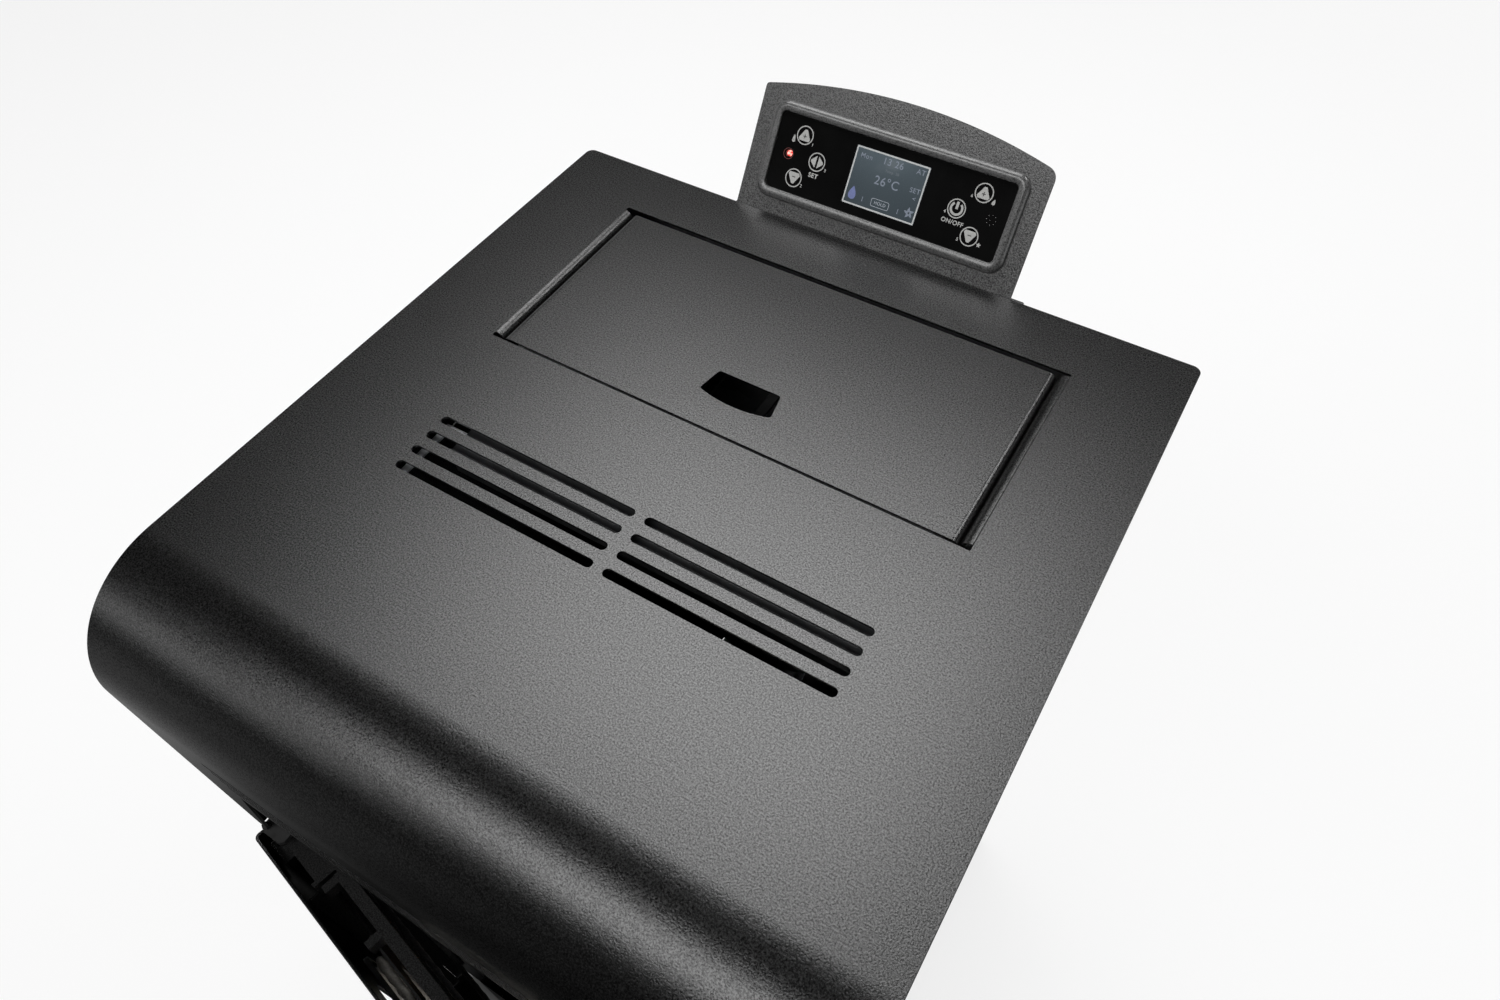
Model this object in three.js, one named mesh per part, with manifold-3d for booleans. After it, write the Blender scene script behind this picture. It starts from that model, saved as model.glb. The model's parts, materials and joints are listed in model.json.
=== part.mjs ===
// Pellet stove: a sheet-steel cabinet with a rolled front edge, a pellet hopper under a lid
// in the top, a control panel behind it, and a hinged fire door that stands a little ajar.
// Millimetres. +Z up, the door faces -Y, +X to the right. Z = 0 is the floor under the feet.

import * as THREE from 'three';
import { mergeVertices } from 'three/addons/utils/BufferGeometryUtils.js';
import Module from 'manifold-3d';

const wasm = await Module();
wasm.setup();

// ---------------------------------------------------------------- driving dimensions

const WIDTH = 500;
const DEPTH = 520; // over the closed cabinet, without the door
const TOP = 900; // height of the top plate
const HALF = WIDTH / 2;
const REAR = 292.61; // y of the cabinet's rear edge, so that y = 0 is the middle of the whole box
const SHEET = 2; // cabinet sheet
const THIN = 1.5; // inner sheet
const GAP = 0.3; // between pieces that touch

// Hood: the top, the front roll and the upper front face in one sheet.
const ROLL = 80; // outer radius of the front roll
const ROLL_SEGMENTS = 9;
const CHEEK_DROP = 126; // the hood's side walls
const FACE_DROP = 178; // lower edge of the front face, between its two legs
const LEG_DROP = 312; // the legs' lowest point
const LEG_WIDTH = 60;
const LEG_TIP = 9; // width of the slanted legs at their lowest point
const PLAN_CORNER = 6;
const LID_OPENING = { half: 178, rear: 47.6, front: 209.3 }; // rear and front from the rear edge
const NOTCH = 3.6; // bend relief at each corner of the lid opening
const LIP_RADIUS = 6.2;
const LIP_DEPTH = 15;
const VENT = { width: 6.2, pitch: 14, rows: 4, first: 285.7, inner: 3.9, outer: 155.6 };
const FACE_VENT = { width: 6.2, pitch: 13, rows: 4, first: 121, inner: 3.9, outer: 191 };

// Lid.
const LID = { half: 170, rear: 53, front: 207.3, roll: 5, flange: 12 };
const LID_PIVOT = { back: 56, drop: 6 };
const LID_PIN_RADIUS = 2;
const FINGER = { rear: 159.8, front: 179.3, bulge: 183, rearHalf: 23.4, frontHalf: 26.8, corner: 2 };

// Hopper.
const MOUTH = { half: 160, rear: 63, front: 201, rim: 8 };
const HOPPER_BEND = 690; // height where the straight box turns into the funnel
const OUTLET = { half: 28, rear: 108, front: 164, height: 515 };

const GUARD = { bars: 7, first: -133.4, pitch: 44, bar: 7, rim: 5 };

const SHIELD = { high: TOP - 8, rear: 216, front: 300, left: -139, right: 160, lip: 20 };

// Control panel, leaning back from the rear edge of the top.
const PANEL_TILT = THREE.MathUtils.degToRad(32.5);
const PANEL_X = 3;
const PANEL = { half: 112.3, shoulder: 88, crown: 102.5, left: 2.2, right: 7, plate: 2 };
const BEZEL = { half: 99.3, low: 11.6, high: 81.2, innerHalf: 92.2, innerLow: 18.4, innerHigh: 74, rise: 5 };
const DISPLAY = { half: 28.6, low: 25.8, high: 66.4 };

// Fire door, drawn closed and then turned about its pivots.
const DOOR_AJAR = THREE.MathUtils.degToRad(12.4);
const DOOR = {
  left: -2.6, width: 490.6, low: 135, high: 580, skin: 2.5, bend: 4.5, depth: 16, lip: 8,
};
const PIVOT = { x: -233.3, back: 519.9 }; // hinge line
const PIVOT_IN_DOOR = { u: 12, w: 14 }; // the same line in the door's own u and w
const HINGE_ARM = {
  outer: -248.4, left: -240, right: -223, front: 523.6, shoulder: 499.2, bolt: { x: -244.6, back: 518.8 },
};
const WINDOW = { left: 145.3, right: 345.3, low: 270, high: 545, corner: 12 };
const HANDLE = { u: 450, z: 380 };

// Firebox.
const BOX = { half: 190, front: 486, rear: 232, floor: 200, roof: 522, wall: 3 };
const FACE_PLATE = { half: 246.7, low: 120, high: 604, front: 489.6, thick: 3 };
const MOUTH_OF_FIRE = { half: 165, low: 205, high: 500 };
const POT = { back: 330, half: 46, depth: 36, high: 286, wall: 5, flange: 7 };

// Works behind and under the firebox.
const BASE = { low: 22, lip: 30, half: 247, front: 496 };
const FOOT = { x: 205, front: 460, rear: 50, radius: 18, stud: 5 };
const DRAWER = { half: 180, low: 26.3, high: 116, front: 500, rear: 252, faceHigh: 128, faceLow: 30 };
const TUBES = {
  count: 6, radius: 15, pitch: 50, z: 556, front: 480, rear: 226, low: 522.3, high: 586, sides: 14,
};
const SCRAPER = { x: 150, z: 594, plate: 306, knob: 511 };
const AUGER = {
  z: 470, outer: 32, inner: 29, front: 226, rear: 82, flight: 26, shaft: 7, pitch: 30, turns: 4,
};
const EXHAUST = { x: -120, half: 42, back: 118, z: 128, radius: 75, shell: 3, collar: 40, reach: 60 };
const ROOM_FAN = { left: 24, right: 196, back: 96, z: 70, rotor: 30 };
const AIR_PIPE = { x: 62, z: 160, radius: 24, reach: 42, front: 292 };
const SWITCH = { x: 180, z: 110 };

// ---------------------------------------------------------------- shape helpers

const back = (distance) => REAR - distance;

// A closed geometry as a solid.
function solid(geometry) {
  const bare = geometry.index ? geometry.toNonIndexed() : geometry.clone();
  bare.deleteAttribute('normal');
  bare.deleteAttribute('uv');
  const merged = mergeVertices(bare, 1e-4);
  const corners = merged.index.array;
  const kept = [];
  for (let i = 0; i < corners.length; i += 3) {
    const [a, b, c] = [corners[i], corners[i + 1], corners[i + 2]];
    if (a !== b && b !== c && c !== a) kept.push(a, b, c);
  }
  return new wasm.Manifold(
    new wasm.Mesh({
      numProp: 3,
      vertProperties: merged.attributes.position.array,
      triVerts: new Uint32Array(kept),
    }),
  );
}

function geometryOf(shape) {
  const mesh = shape.getMesh();
  const positions = new Float32Array(mesh.numVert * 3);
  for (let i = 0; i < mesh.numVert; i++) {
    positions.set(mesh.vertProperties.subarray(i * mesh.numProp, i * mesh.numProp + 3), i * 3);
  }
  const geometry = new THREE.BufferGeometry();
  geometry.setAttribute('position', new THREE.BufferAttribute(positions, 3));
  geometry.setIndex(new THREE.BufferAttribute(mesh.triVerts, 1));
  geometry.computeVertexNormals();
  return geometry;
}

const join = (...geometries) => geometryOf(geometries.map(solid).reduce((a, b) => a.add(b)));
const cut = (base, ...tools) => geometryOf(tools.map(solid).reduce((a, b) => a.subtract(b), solid(base)));
const common = (a, b) => geometryOf(solid(a).intersect(solid(b)));

// A box between two x, two y and two z values, in any order.
function box(x0, x1, y0, y1, z0, z1) {
  const geometry = new THREE.BoxGeometry(Math.abs(x1 - x0), Math.abs(y1 - y0), Math.abs(z1 - z0));
  return geometry.translate((x0 + x1) / 2, (y0 + y1) / 2, (z0 + z1) / 2);
}

const shapeOf = (points) => new THREE.Shape(points.map(([a, b]) => new THREE.Vector2(a, b)));

// Arcs get two segments for each curve segment.
function prism(shape, depth, basis, offset, curveSegments = 2) {
  const geometry = new THREE.ExtrudeGeometry(shape, { depth, bevelEnabled: false, curveSegments });
  return geometry.applyMatrix4(new THREE.Matrix4().makeBasis(...basis)).translate(...offset);
}

const X = new THREE.Vector3(1, 0, 0);
const Y = new THREE.Vector3(0, 1, 0);
const Z = new THREE.Vector3(0, 0, 1);

// An outline drawn in y and z, run from one x to another, and the same for the other axes.
const alongX = (shape, x0, x1) => prism(shape, x1 - x0, [Y, Z, X], [x0, 0, 0]);
const alongY = (shape, rear, front) => prism(shape, rear - front, [X, Z, Y.clone().negate()], [0, rear, 0]);
const alongZ = (shape, z0, z1) => prism(shape, z1 - z0, [X, Y, Z], [0, 0, z0]);

function rod(axis, radius, from, to, sides = 24) {
  const start = new THREE.Vector3(...from);
  const end = new THREE.Vector3(...to);
  const geometry = new THREE.CylinderGeometry(radius, radius, start.distanceTo(end), sides);
  if (axis === X) geometry.rotateZ(-Math.PI / 2);
  if (axis === Z) geometry.rotateX(Math.PI / 2);
  const middle = start.add(end).multiplyScalar(0.5);
  return geometry.translate(middle.x, middle.y, middle.z);
}

// A pipe: the rod less a bore that runs past both ends.
function pipe(axis, outer, inner, from, to, sides = 24) {
  const start = new THREE.Vector3(...from);
  const end = new THREE.Vector3(...to);
  const over = end.clone().sub(start).normalize();
  const bore = rod(axis, inner, start.sub(over).toArray(), end.add(over).toArray(), sides);
  return cut(rod(axis, outer, from, to, sides), bore);
}

function roundedRect(x0, x1, y0, y1, radius) {
  const shape = new THREE.Shape();
  shape.moveTo(x0 + radius, y0);
  shape.lineTo(x1 - radius, y0);
  shape.absarc(x1 - radius, y0 + radius, radius, -Math.PI / 2, 0);
  shape.lineTo(x1, y1 - radius);
  shape.absarc(x1 - radius, y1 - radius, radius, 0, Math.PI / 2);
  shape.lineTo(x0 + radius, y1);
  shape.absarc(x0 + radius, y1 - radius, radius, Math.PI / 2, Math.PI);
  shape.lineTo(x0, y0 + radius);
  shape.absarc(x0 + radius, y0 + radius, radius, Math.PI, Math.PI * 1.5);
  return shape;
}

// A slot with round ends that lies along x.
const slot = (x0, x1, middle, width) =>
  roundedRect(x0, x1, middle - width / 2, middle + width / 2, width / 2 - 0.01);

// A box with an open side is the outer box less the inner one.
const shell = (outer, inner) => cut(box(...outer), box(...inner));

// ---------------------------------------------------------------- materials

const finish = (color, roughness, metalness) => () =>
  new THREE.MeshStandardMaterial({ color, roughness, metalness });

const powderCoat = finish(0x2b2c2d, 0.5, 0.2);
const darkInside = finish(0x1b1b1c, 0.7, 0.2);
const galvanised = finish(0x9a9d9e, 0.45, 0.9);
const steel = finish(0xb9bbbc, 0.3, 1);
const castIron = finish(0x3a3836, 0.8, 0.4);
const stovePaint = finish(0x333332, 0.75, 0.2);
const blackGlass = finish(0x050606, 0.06, 0);
const clearGlass = finish(0x9fb0a8, 0.05, 0);
const displayGrey = finish(0x7d8a93, 0.3, 0);
const redLens = finish(0xff3420, 0.2, 0);
const ropeSeal = finish(0xc9c4b8, 0.95, 0);
const darkSeal = finish(0x3b3a38, 0.95, 0);
const board = finish(0x2f5a3c, 0.5, 0.1);
const plastic = finish(0x1a1a1b, 0.45, 0);
const motorGrey = finish(0x66696c, 0.45, 0.8);
const brick = finish(0xb59f7c, 0.95, 0);
const aluminium = finish(0xc4c6c8, 0.35, 0.95);

const stove = new THREE.Group();

function add(name, material, geometry, parent = stove) {
  const mesh = new THREE.Mesh(geometry, material());
  mesh.name = name;
  parent.add(mesh);
  return mesh;
}

// ---------------------------------------------------------------- cabinet

// The front edge of the hood seen from the side: flat top, quarter-circle roll, straight face.
function hoodProfile(inset, rearInset, lowest) {
  const shape = new THREE.Shape();
  const centreY = back(DEPTH - ROLL);
  const centreZ = TOP - ROLL;
  shape.moveTo(back(rearInset), TOP - inset);
  shape.lineTo(centreY, TOP - inset);
  shape.absarc(centreY, centreZ, ROLL - inset, Math.PI / 2, Math.PI);
  shape.lineTo(back(DEPTH) + inset, lowest);
  return shape;
}

function hoodSheet() {
  const outer = hoodProfile(0, 0, TOP - LEG_DROP);
  outer.lineTo(back(0), TOP - LEG_DROP);
  const inner = hoodProfile(SHEET, 0, TOP - LEG_DROP - 1);
  inner.lineTo(back(-1), TOP - LEG_DROP - 1);
  inner.lineTo(back(-1), TOP - SHEET);
  const run = (shape, x0, x1) => prism(shape, x1 - x0, [Y, Z, X], [x0, 0, 0], ROLL_SEGMENTS);
  return cut(run(outer, -HALF, HALF), run(inner, -HALF - 1, HALF + 1));
}

function hoodCheek(side) {
  const profile = hoodProfile(0, 0, TOP - CHEEK_DROP);
  profile.lineTo(back(0), TOP - CHEEK_DROP);
  const x0 = side < 0 ? -HALF : HALF - SHEET;
  return prism(profile, SHEET, [Y, Z, X], [x0, 0, 0], ROLL_SEGMENTS);
}

// The rolled edge at one side of the lid opening.
function openingLip(side) {
  const start = LID_OPENING.half;
  const shape = new THREE.Shape();
  shape.moveTo(start + 2, TOP);
  shape.lineTo(start, TOP);
  shape.absarc(start, TOP - LIP_RADIUS, LIP_RADIUS, Math.PI / 2, Math.PI);
  shape.lineTo(start - LIP_RADIUS, TOP - LIP_DEPTH);
  shape.lineTo(start - LIP_RADIUS + THIN, TOP - LIP_DEPTH);
  shape.lineTo(start - LIP_RADIUS + THIN, TOP - LIP_RADIUS);
  shape.absarc(start, TOP - LIP_RADIUS, LIP_RADIUS - THIN, Math.PI, Math.PI / 2, true);
  shape.lineTo(start + 2, TOP - THIN);
  const lip = alongY(shape, back(LID_OPENING.rear + NOTCH), back(LID_OPENING.front - NOTCH));
  return side > 0 ? lip : lip.applyMatrix4(new THREE.Matrix4().makeRotationZ(Math.PI))
    .translate(0, back(LID_OPENING.rear + NOTCH) + back(LID_OPENING.front - NOTCH), 0);
}

function ventRows(vent, cutter) {
  const cuts = [];
  for (let row = 0; row < vent.rows; row++) {
    const middle = vent.first + row * vent.pitch;
    for (const side of [-1, 1]) {
      const [x0, x1] = [side * vent.inner, side * vent.outer].sort((a, b) => a - b);
      cuts.push(cutter(x0, x1, middle, vent.width));
    }
  }
  return cuts;
}

function hood() {
  const faceCutout = shapeOf([
    [-HALF + LEG_WIDTH, TOP - FACE_DROP],
    [HALF - LEG_WIDTH, TOP - FACE_DROP],
    [HALF - LEG_TIP, TOP - LEG_DROP - 1],
    [-HALF + LEG_TIP, TOP - LEG_DROP - 1],
  ]);
  const rearFlange = box(-HALF, HALF, back(0), back(SHEET), TOP - 20, TOP);
  const opening = box(
    -LID_OPENING.half, LID_OPENING.half,
    back(LID_OPENING.rear), back(LID_OPENING.front), TOP - SHEET - 1, TOP + 1,
  );
  const topVents = ventRows(VENT, (x0, x1, middle, width) =>
    alongZ(slot(x0, x1, back(middle), width), TOP - SHEET - 1, TOP + 1));
  const faceVents = ventRows(FACE_VENT, (x0, x1, middle, width) =>
    alongY(slot(x0, x1, TOP - middle, width), back(DEPTH) + SHEET + 1, back(DEPTH) - 1));
  const sheet = cut(
    join(hoodSheet(), hoodCheek(-1), hoodCheek(1), rearFlange),
    alongY(faceCutout, back(DEPTH) + SHEET + 1, back(DEPTH) - 1),
    opening,
    ...topVents,
    ...faceVents,
  );
  const plan = new THREE.Shape();
  plan.moveTo(-HALF, back(DEPTH) - 1);
  plan.lineTo(HALF, back(DEPTH) - 1);
  plan.lineTo(HALF, back(PLAN_CORNER));
  plan.absarc(HALF - PLAN_CORNER, back(PLAN_CORNER), PLAN_CORNER, 0, Math.PI / 2);
  plan.lineTo(-HALF + PLAN_CORNER, back(0));
  plan.absarc(-HALF + PLAN_CORNER, back(PLAN_CORNER), PLAN_CORNER, Math.PI / 2, Math.PI);
  const trimmed = common(sheet, alongZ(plan, TOP - LEG_DROP - 2, TOP + 2));
  return join(trimmed, openingLip(-1), openingLip(1));
}

// A side panel: full depth above the door's hinge, set back beside the door.
function sidePanel(side) {
  const outline = shapeOf([
    [back(3), BASE.low],
    [back(498), BASE.low],
    [back(498), TOP - LEG_DROP],
    [back(DEPTH - SHEET - GAP), TOP - LEG_DROP],
    [back(DEPTH - SHEET - GAP), TOP - CHEEK_DROP - GAP],
    [back(3), TOP - CHEEK_DROP - GAP],
  ]);
  const outer = side * (HALF - 1);
  const inner = side * (HALF - 1 - SHEET);
  const [x0, x1] = [Math.min(outer, inner), Math.max(outer, inner)];
  const fold = (rear, width) =>
    box(inner, inner - side * width, back(rear), back(rear + SHEET), BASE.low + 34, TOP - 340);
  return join(alongX(outline, x0, x1), fold(496, 6), fold(6, 14));
}

function rearPanel() {
  const half = HALF - 3.6;
  const sheet = box(-half, half, back(0.6), back(0.6 + THIN), BASE.low + 2.4, TOP - 22);
  const fanSlots = [];
  for (let row = 0; row < 8; row++) {
    fanSlots.push(alongY(slot(30, 150, 190 + row * 14, 6), back(-1), back(4)));
  }
  const exhaustZ = EXHAUST.z + EXHAUST.radius - EXHAUST.collar;
  return cut(
    sheet,
    rod(Y, EXHAUST.collar + 1, [EXHAUST.x, back(-2), exhaustZ], [EXHAUST.x, back(5), exhaustZ], 32),
    rod(Y, AIR_PIPE.radius + 1, [AIR_PIPE.x, back(-2), AIR_PIPE.z], [AIR_PIPE.x, back(5), AIR_PIPE.z]),
    box(SWITCH.x - 24, SWITCH.x + 24, back(-2), back(5), SWITCH.z - 15, SWITCH.z + 41),
    ...fanSlots,
  );
}

function footPlaces() {
  const places = [];
  for (const [depthName, depth] of [['front', FOOT.front], ['rear', FOOT.rear]]) {
    for (const [sideName, side] of [['left', -1], ['right', 1]]) {
      places.push({ name: `${depthName}_${sideName}`, x: side * FOOT.x, y: back(depth) });
    }
  }
  return places;
}

// A welded angle that guides one side of the ash drawer.
function drawerRail(side) {
  const x = (offset) => side * (DRAWER.half + offset);
  return join(
    box(x(1), x(1 + SHEET), back(254), back(484), BASE.low + 1, 60),
    box(x(1), x(16), back(254), back(484), BASE.low + 1, BASE.low + 4),
  );
}

function basePlate() {
  const outer = [-BASE.half + 1, BASE.half - 1, back(3), back(BASE.front), BASE.low, BASE.low + BASE.lip];
  const inner = [
    -BASE.half + 1 + SHEET, BASE.half - 1 - SHEET, back(3 + SHEET), back(BASE.front + 2),
    BASE.low + SHEET, BASE.low + BASE.lip + 1,
  ];
  const pan = shell(outer, inner);
  const nuts = footPlaces().map(({ x, y }) => rod(Z, 9, [x, y, 15], [x, y, BASE.low + 1], 6));
  const holes = footPlaces().map(({ x, y }) => rod(Z, FOOT.stud + 0.4, [x, y, 10], [x, y, BASE.low + 6], 16));
  return cut(join(pan, drawerRail(-1), drawerRail(1), ...nuts), ...holes);
}

function levellingFoot({ x, y }) {
  const profile = [
    [0, 0], [FOOT.radius, 0], [FOOT.radius, 4], [FOOT.radius - 5, 8],
    [FOOT.stud, 9], [FOOT.stud, 44], [0, 44],
  ].map(([r, z]) => new THREE.Vector2(r, z));
  return new THREE.LatheGeometry(profile, 20).rotateX(Math.PI / 2).translate(x, y, 0);
}

// The recessed panel behind the hood's front opening, slotted where the warm air comes out.
function outletGrille() {
  const plate = box(-HALF + 3.3, HALF - 3.3, back(508), back(508 - SHEET), 608, TOP - 186);
  const slots = [];
  for (let row = 0; row < 5; row++) {
    slots.push(alongY(slot(-170, 170, 634 + row * 15, 7), back(500), back(512)));
  }
  return cut(plate, ...slots);
}

// ---------------------------------------------------------------- hopper and lid

function lidSheet() {
  const { half, roll, flange } = LID;
  const shape = new THREE.Shape();
  shape.moveTo(-half, TOP - flange);
  shape.lineTo(-half, TOP - roll);
  shape.absarc(-half + roll, TOP - roll, roll, Math.PI, Math.PI / 2, true);
  shape.lineTo(half - roll, TOP);
  shape.absarc(half - roll, TOP - roll, roll, Math.PI / 2, 0, true);
  shape.lineTo(half, TOP - flange);
  shape.lineTo(half - THIN, TOP - flange);
  shape.lineTo(half - THIN, TOP - roll);
  shape.absarc(half - roll, TOP - roll, roll - THIN, 0, Math.PI / 2);
  shape.lineTo(-half + roll, TOP - THIN);
  shape.absarc(-half + roll, TOP - roll, roll - THIN, Math.PI / 2, Math.PI);
  shape.lineTo(-half + THIN, TOP - flange);
  return alongY(shape, back(LID.rear), back(LID.front));
}

// The finger hole: straight towards the rear, bowed towards the front.
function fingerHole() {
  const { rear, front, bulge, rearHalf, frontHalf, corner } = FINGER;
  const shape = new THREE.Shape();
  shape.moveTo(-rearHalf + corner, back(rear));
  shape.lineTo(rearHalf - corner, back(rear));
  shape.quadraticCurveTo(rearHalf, back(rear), rearHalf + 0.3, back(rear + corner));
  shape.lineTo(frontHalf - 0.3, back(front - corner));
  shape.quadraticCurveTo(frontHalf, back(front), frontHalf - corner, back(front + 0.4));
  shape.quadraticCurveTo(0, back(2 * bulge - front), -frontHalf + corner, back(front + 0.4));
  shape.quadraticCurveTo(-frontHalf, back(front), -frontHalf + 0.3, back(front - corner));
  shape.lineTo(-rearHalf - 0.3, back(rear + corner));
  shape.quadraticCurveTo(-rearHalf, back(rear), -rearHalf + corner, back(rear));
  return alongZ(shape, TOP - 6, TOP + 2);
}

function hopperLid() {
  const pivotY = back(LID_PIVOT.back);
  const pivotZ = TOP - LID_PIVOT.drop;
  const parts = [lidSheet()];
  for (const x of [-118, 118]) {
    const web = box(x - 15, x + 15, pivotY - 3, pivotY + 1, pivotZ, TOP - 1);
    parts.push(join(rod(X, 3.6, [x - 15, pivotY, pivotZ], [x + 15, pivotY, pivotZ], 16), web));
  }
  const bore = rod(X, LID_PIN_RADIUS + 0.45, [-140, pivotY, pivotZ], [140, pivotY, pivotZ], 16);
  return cut(join(...parts), fingerHole(), bore);
}

function lidHingePin() {
  const pivotY = back(LID_PIVOT.back);
  const pivotZ = TOP - LID_PIVOT.drop;
  return rod(X, LID_PIN_RADIUS, [-158, pivotY, pivotZ], [158, pivotY, pivotZ], 16);
}

// A small upright on the hopper's flange that carries one end of the lid's pin.
function lidPinUpright(side) {
  const pivotY = back(LID_PIVOT.back);
  const pivotZ = TOP - LID_PIVOT.drop;
  const [x0, x1] = [side * 150, side * 153].sort((a, b) => a - b);
  const upright = join(
    rod(X, 3.6, [x0, pivotY, pivotZ], [x1, pivotY, pivotZ], 16),
    box(x0, x1, pivotY - 3.6, pivotY + 1.2, TOP - 23, pivotZ),
  );
  return cut(upright, rod(X, LID_PIN_RADIUS + GAP, [x0 - 1, pivotY, pivotZ], [x1 + 1, pivotY, pivotZ], 16));
}

// A four-sided funnel section as a closed solid between two rectangles.
function funnel(low, high) {
  const corners = [];
  for (const { half, rear, front, z } of [low, high]) {
    corners.push([-half, back(front), z], [half, back(front), z]);
    corners.push([half, back(rear), z], [-half, back(rear), z]);
  }
  const faces = [
    [0, 2, 1], [0, 3, 2], [4, 5, 6], [4, 6, 7],
    [0, 1, 5], [0, 5, 4], [1, 2, 6], [1, 6, 5], [2, 3, 7], [2, 7, 6], [3, 0, 4], [3, 4, 7],
  ];
  const geometry = new THREE.BufferGeometry();
  geometry.setAttribute('position', new THREE.Float32BufferAttribute(corners.flat(), 3));
  geometry.setIndex(faces.flat());
  return geometry;
}

function hopper() {
  const rimZ = TOP - MOUTH.rim;
  const mouthAt = (z, inset) => ({
    half: MOUTH.half - inset, rear: MOUTH.rear + inset, front: MOUTH.front - inset, z,
  });
  const outletAt = (z, inset) => ({
    half: OUTLET.half - inset, rear: OUTLET.rear + inset, front: OUTLET.front - inset, z,
  });
  const outer = join(
    funnel(mouthAt(HOPPER_BEND, 0), mouthAt(rimZ, 0)),
    funnel(outletAt(OUTLET.height + 20, 0), mouthAt(HOPPER_BEND, 0)),
    funnel(outletAt(OUTLET.height, 0), outletAt(OUTLET.height + 20, 0)),
    box(-174, 174, back(48.5), back(214), TOP - 24, TOP - 22),
  );
  const inner = join(
    funnel(mouthAt(HOPPER_BEND, THIN), mouthAt(rimZ + 1, THIN)),
    funnel(outletAt(OUTLET.height + 20, THIN), mouthAt(HOPPER_BEND, THIN)),
    funnel(outletAt(OUTLET.height - 1, THIN), outletAt(OUTLET.height + 20, THIN)),
  );
  return join(cut(outer, inner), lidPinUpright(-1), lidPinUpright(1));
}

// The finger guard inside the hopper's mouth: a frame with thinner bars across it.
function hopperGuard() {
  const z = TOP - 46;
  const half = MOUTH.half - THIN - 1;
  const [rear, front] = [back(MOUTH.rear + THIN + 1), back(MOUTH.front - THIN - 1)];
  const { bars, first, pitch, bar, rim } = GUARD;
  const frame = cut(
    box(-half, half, rear, front, z, z + 3),
    box(-half + rim, half - rim, rear - rim, front + rim, z - 1, z + 4),
  );
  const cross = [];
  for (let i = 0; i < bars; i++) {
    const x = first + i * pitch;
    cross.push(box(x - bar / 2, x + bar / 2, rear - 1, front + 1, z + 0.2, z + 2.8));
  }
  return join(frame, ...cross);
}

function lidSeal() {
  const low = TOP - MOUTH.rim + GAP;
  return cut(
    box(-MOUTH.half, MOUTH.half, back(MOUTH.rear), back(MOUTH.front), low, TOP - 2),
    box(-MOUTH.half + 7, MOUTH.half - 7, back(MOUTH.rear + 7), back(MOUTH.front - 7), low - 1, TOP),
  );
}

// The heat shield close under the top, in front of the hopper, with its two straps.
function topShield() {
  const { high, rear, front, left, right, lip } = SHIELD;
  const low = high - THIN;
  return join(
    box(left, right, back(rear), back(front), low, high),
    box(left, right, back(front - THIN), back(front), high - lip, high),
    rod(X, 2.2, [left, back(front), high - 0.6], [right, back(front), high - 0.6], 10),
    box(left - 17, left + 1, back(front - 17), back(front - 10), low, high),
    box(left - 17, left - 12, back(front - 11), back(front + 45), low, high),
    box(right - 2, right + 6, back(front - 1), back(front + 45), low, high),
  );
}

// ---------------------------------------------------------------- control panel

const panelGroup = new THREE.Group();
panelGroup.position.set(PANEL_X, REAR, TOP);
panelGroup.rotation.x = -PANEL_TILT;

// In the panel's own frame x is across, z up the slope, and the front faces -y.
function panelOutline() {
  const { half, shoulder, crown, left, right } = PANEL;
  const shape = new THREE.Shape();
  shape.moveTo(-half, 0.2);
  shape.lineTo(half, 0.2);
  shape.lineTo(half, shoulder - right);
  shape.quadraticCurveTo(half, shoulder, half - right, shoulder + 1.9);
  shape.quadraticCurveTo(0, 2 * crown - shoulder - 1.6, -half + left, shoulder + 0.6);
  shape.quadraticCurveTo(-half, shoulder, -half, shoulder - left);
  return shape;
}

function panelPlate() {
  const window = roundedRect(
    -BEZEL.innerHalf + 2, BEZEL.innerHalf - 2, BEZEL.innerLow + 2, BEZEL.innerHigh - 2, 2,
  );
  const leaning = cut(
    prism(panelOutline(), PANEL.plate, [X, Z, Y.clone().negate()], [0, PANEL.plate, 0], 10),
    alongY(window, PANEL.plate + 1, -1),
  );
  // The upright tab behind the hood, in the panel's frame.
  const tab = box(-PANEL.half - 1.4, PANEL.half + 9.7, GAP, GAP + PANEL.plate, -60, 0.8);
  tab.rotateX(PANEL_TILT);
  return join(leaning, tab);
}

function panelBezel() {
  const ring = roundedRect(-BEZEL.half, BEZEL.half, BEZEL.low, BEZEL.high, 11);
  ring.holes.push(roundedRect(-BEZEL.innerHalf, BEZEL.innerHalf, BEZEL.innerLow, BEZEL.innerHigh, 3));
  return alongY(ring, -GAP, -BEZEL.rise);
}

function panelGlass() {
  const plate = roundedRect(
    -BEZEL.innerHalf + GAP, BEZEL.innerHalf - GAP, BEZEL.innerLow + GAP, BEZEL.innerHigh - GAP, 3,
  );
  plate.holes.push(roundedRect(
    -DISPLAY.half - GAP, DISPLAY.half + GAP, DISPLAY.low - GAP, DISPLAY.high + GAP, 0.6,
  ));
  return cut(alongY(plate, -GAP, -2.6), rod(Y, 2.6, [-79, 1, 46], [-79, -4, 46], 16));
}

function displayModule() {
  return alongY(roundedRect(-DISPLAY.half, DISPLAY.half, DISPLAY.low, DISPLAY.high, 0.6), 1.4, -2.4);
}

function statusLed() {
  const profile = [[0, -2.4], [1.2, -2.2], [2, -1.6], [2.2, -0.8], [2.2, 1.6], [0, 1.6]]
    .map(([r, y]) => new THREE.Vector2(r, y));
  return new THREE.LatheGeometry(profile, 14).translate(-79, 0, 46);
}

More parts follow.
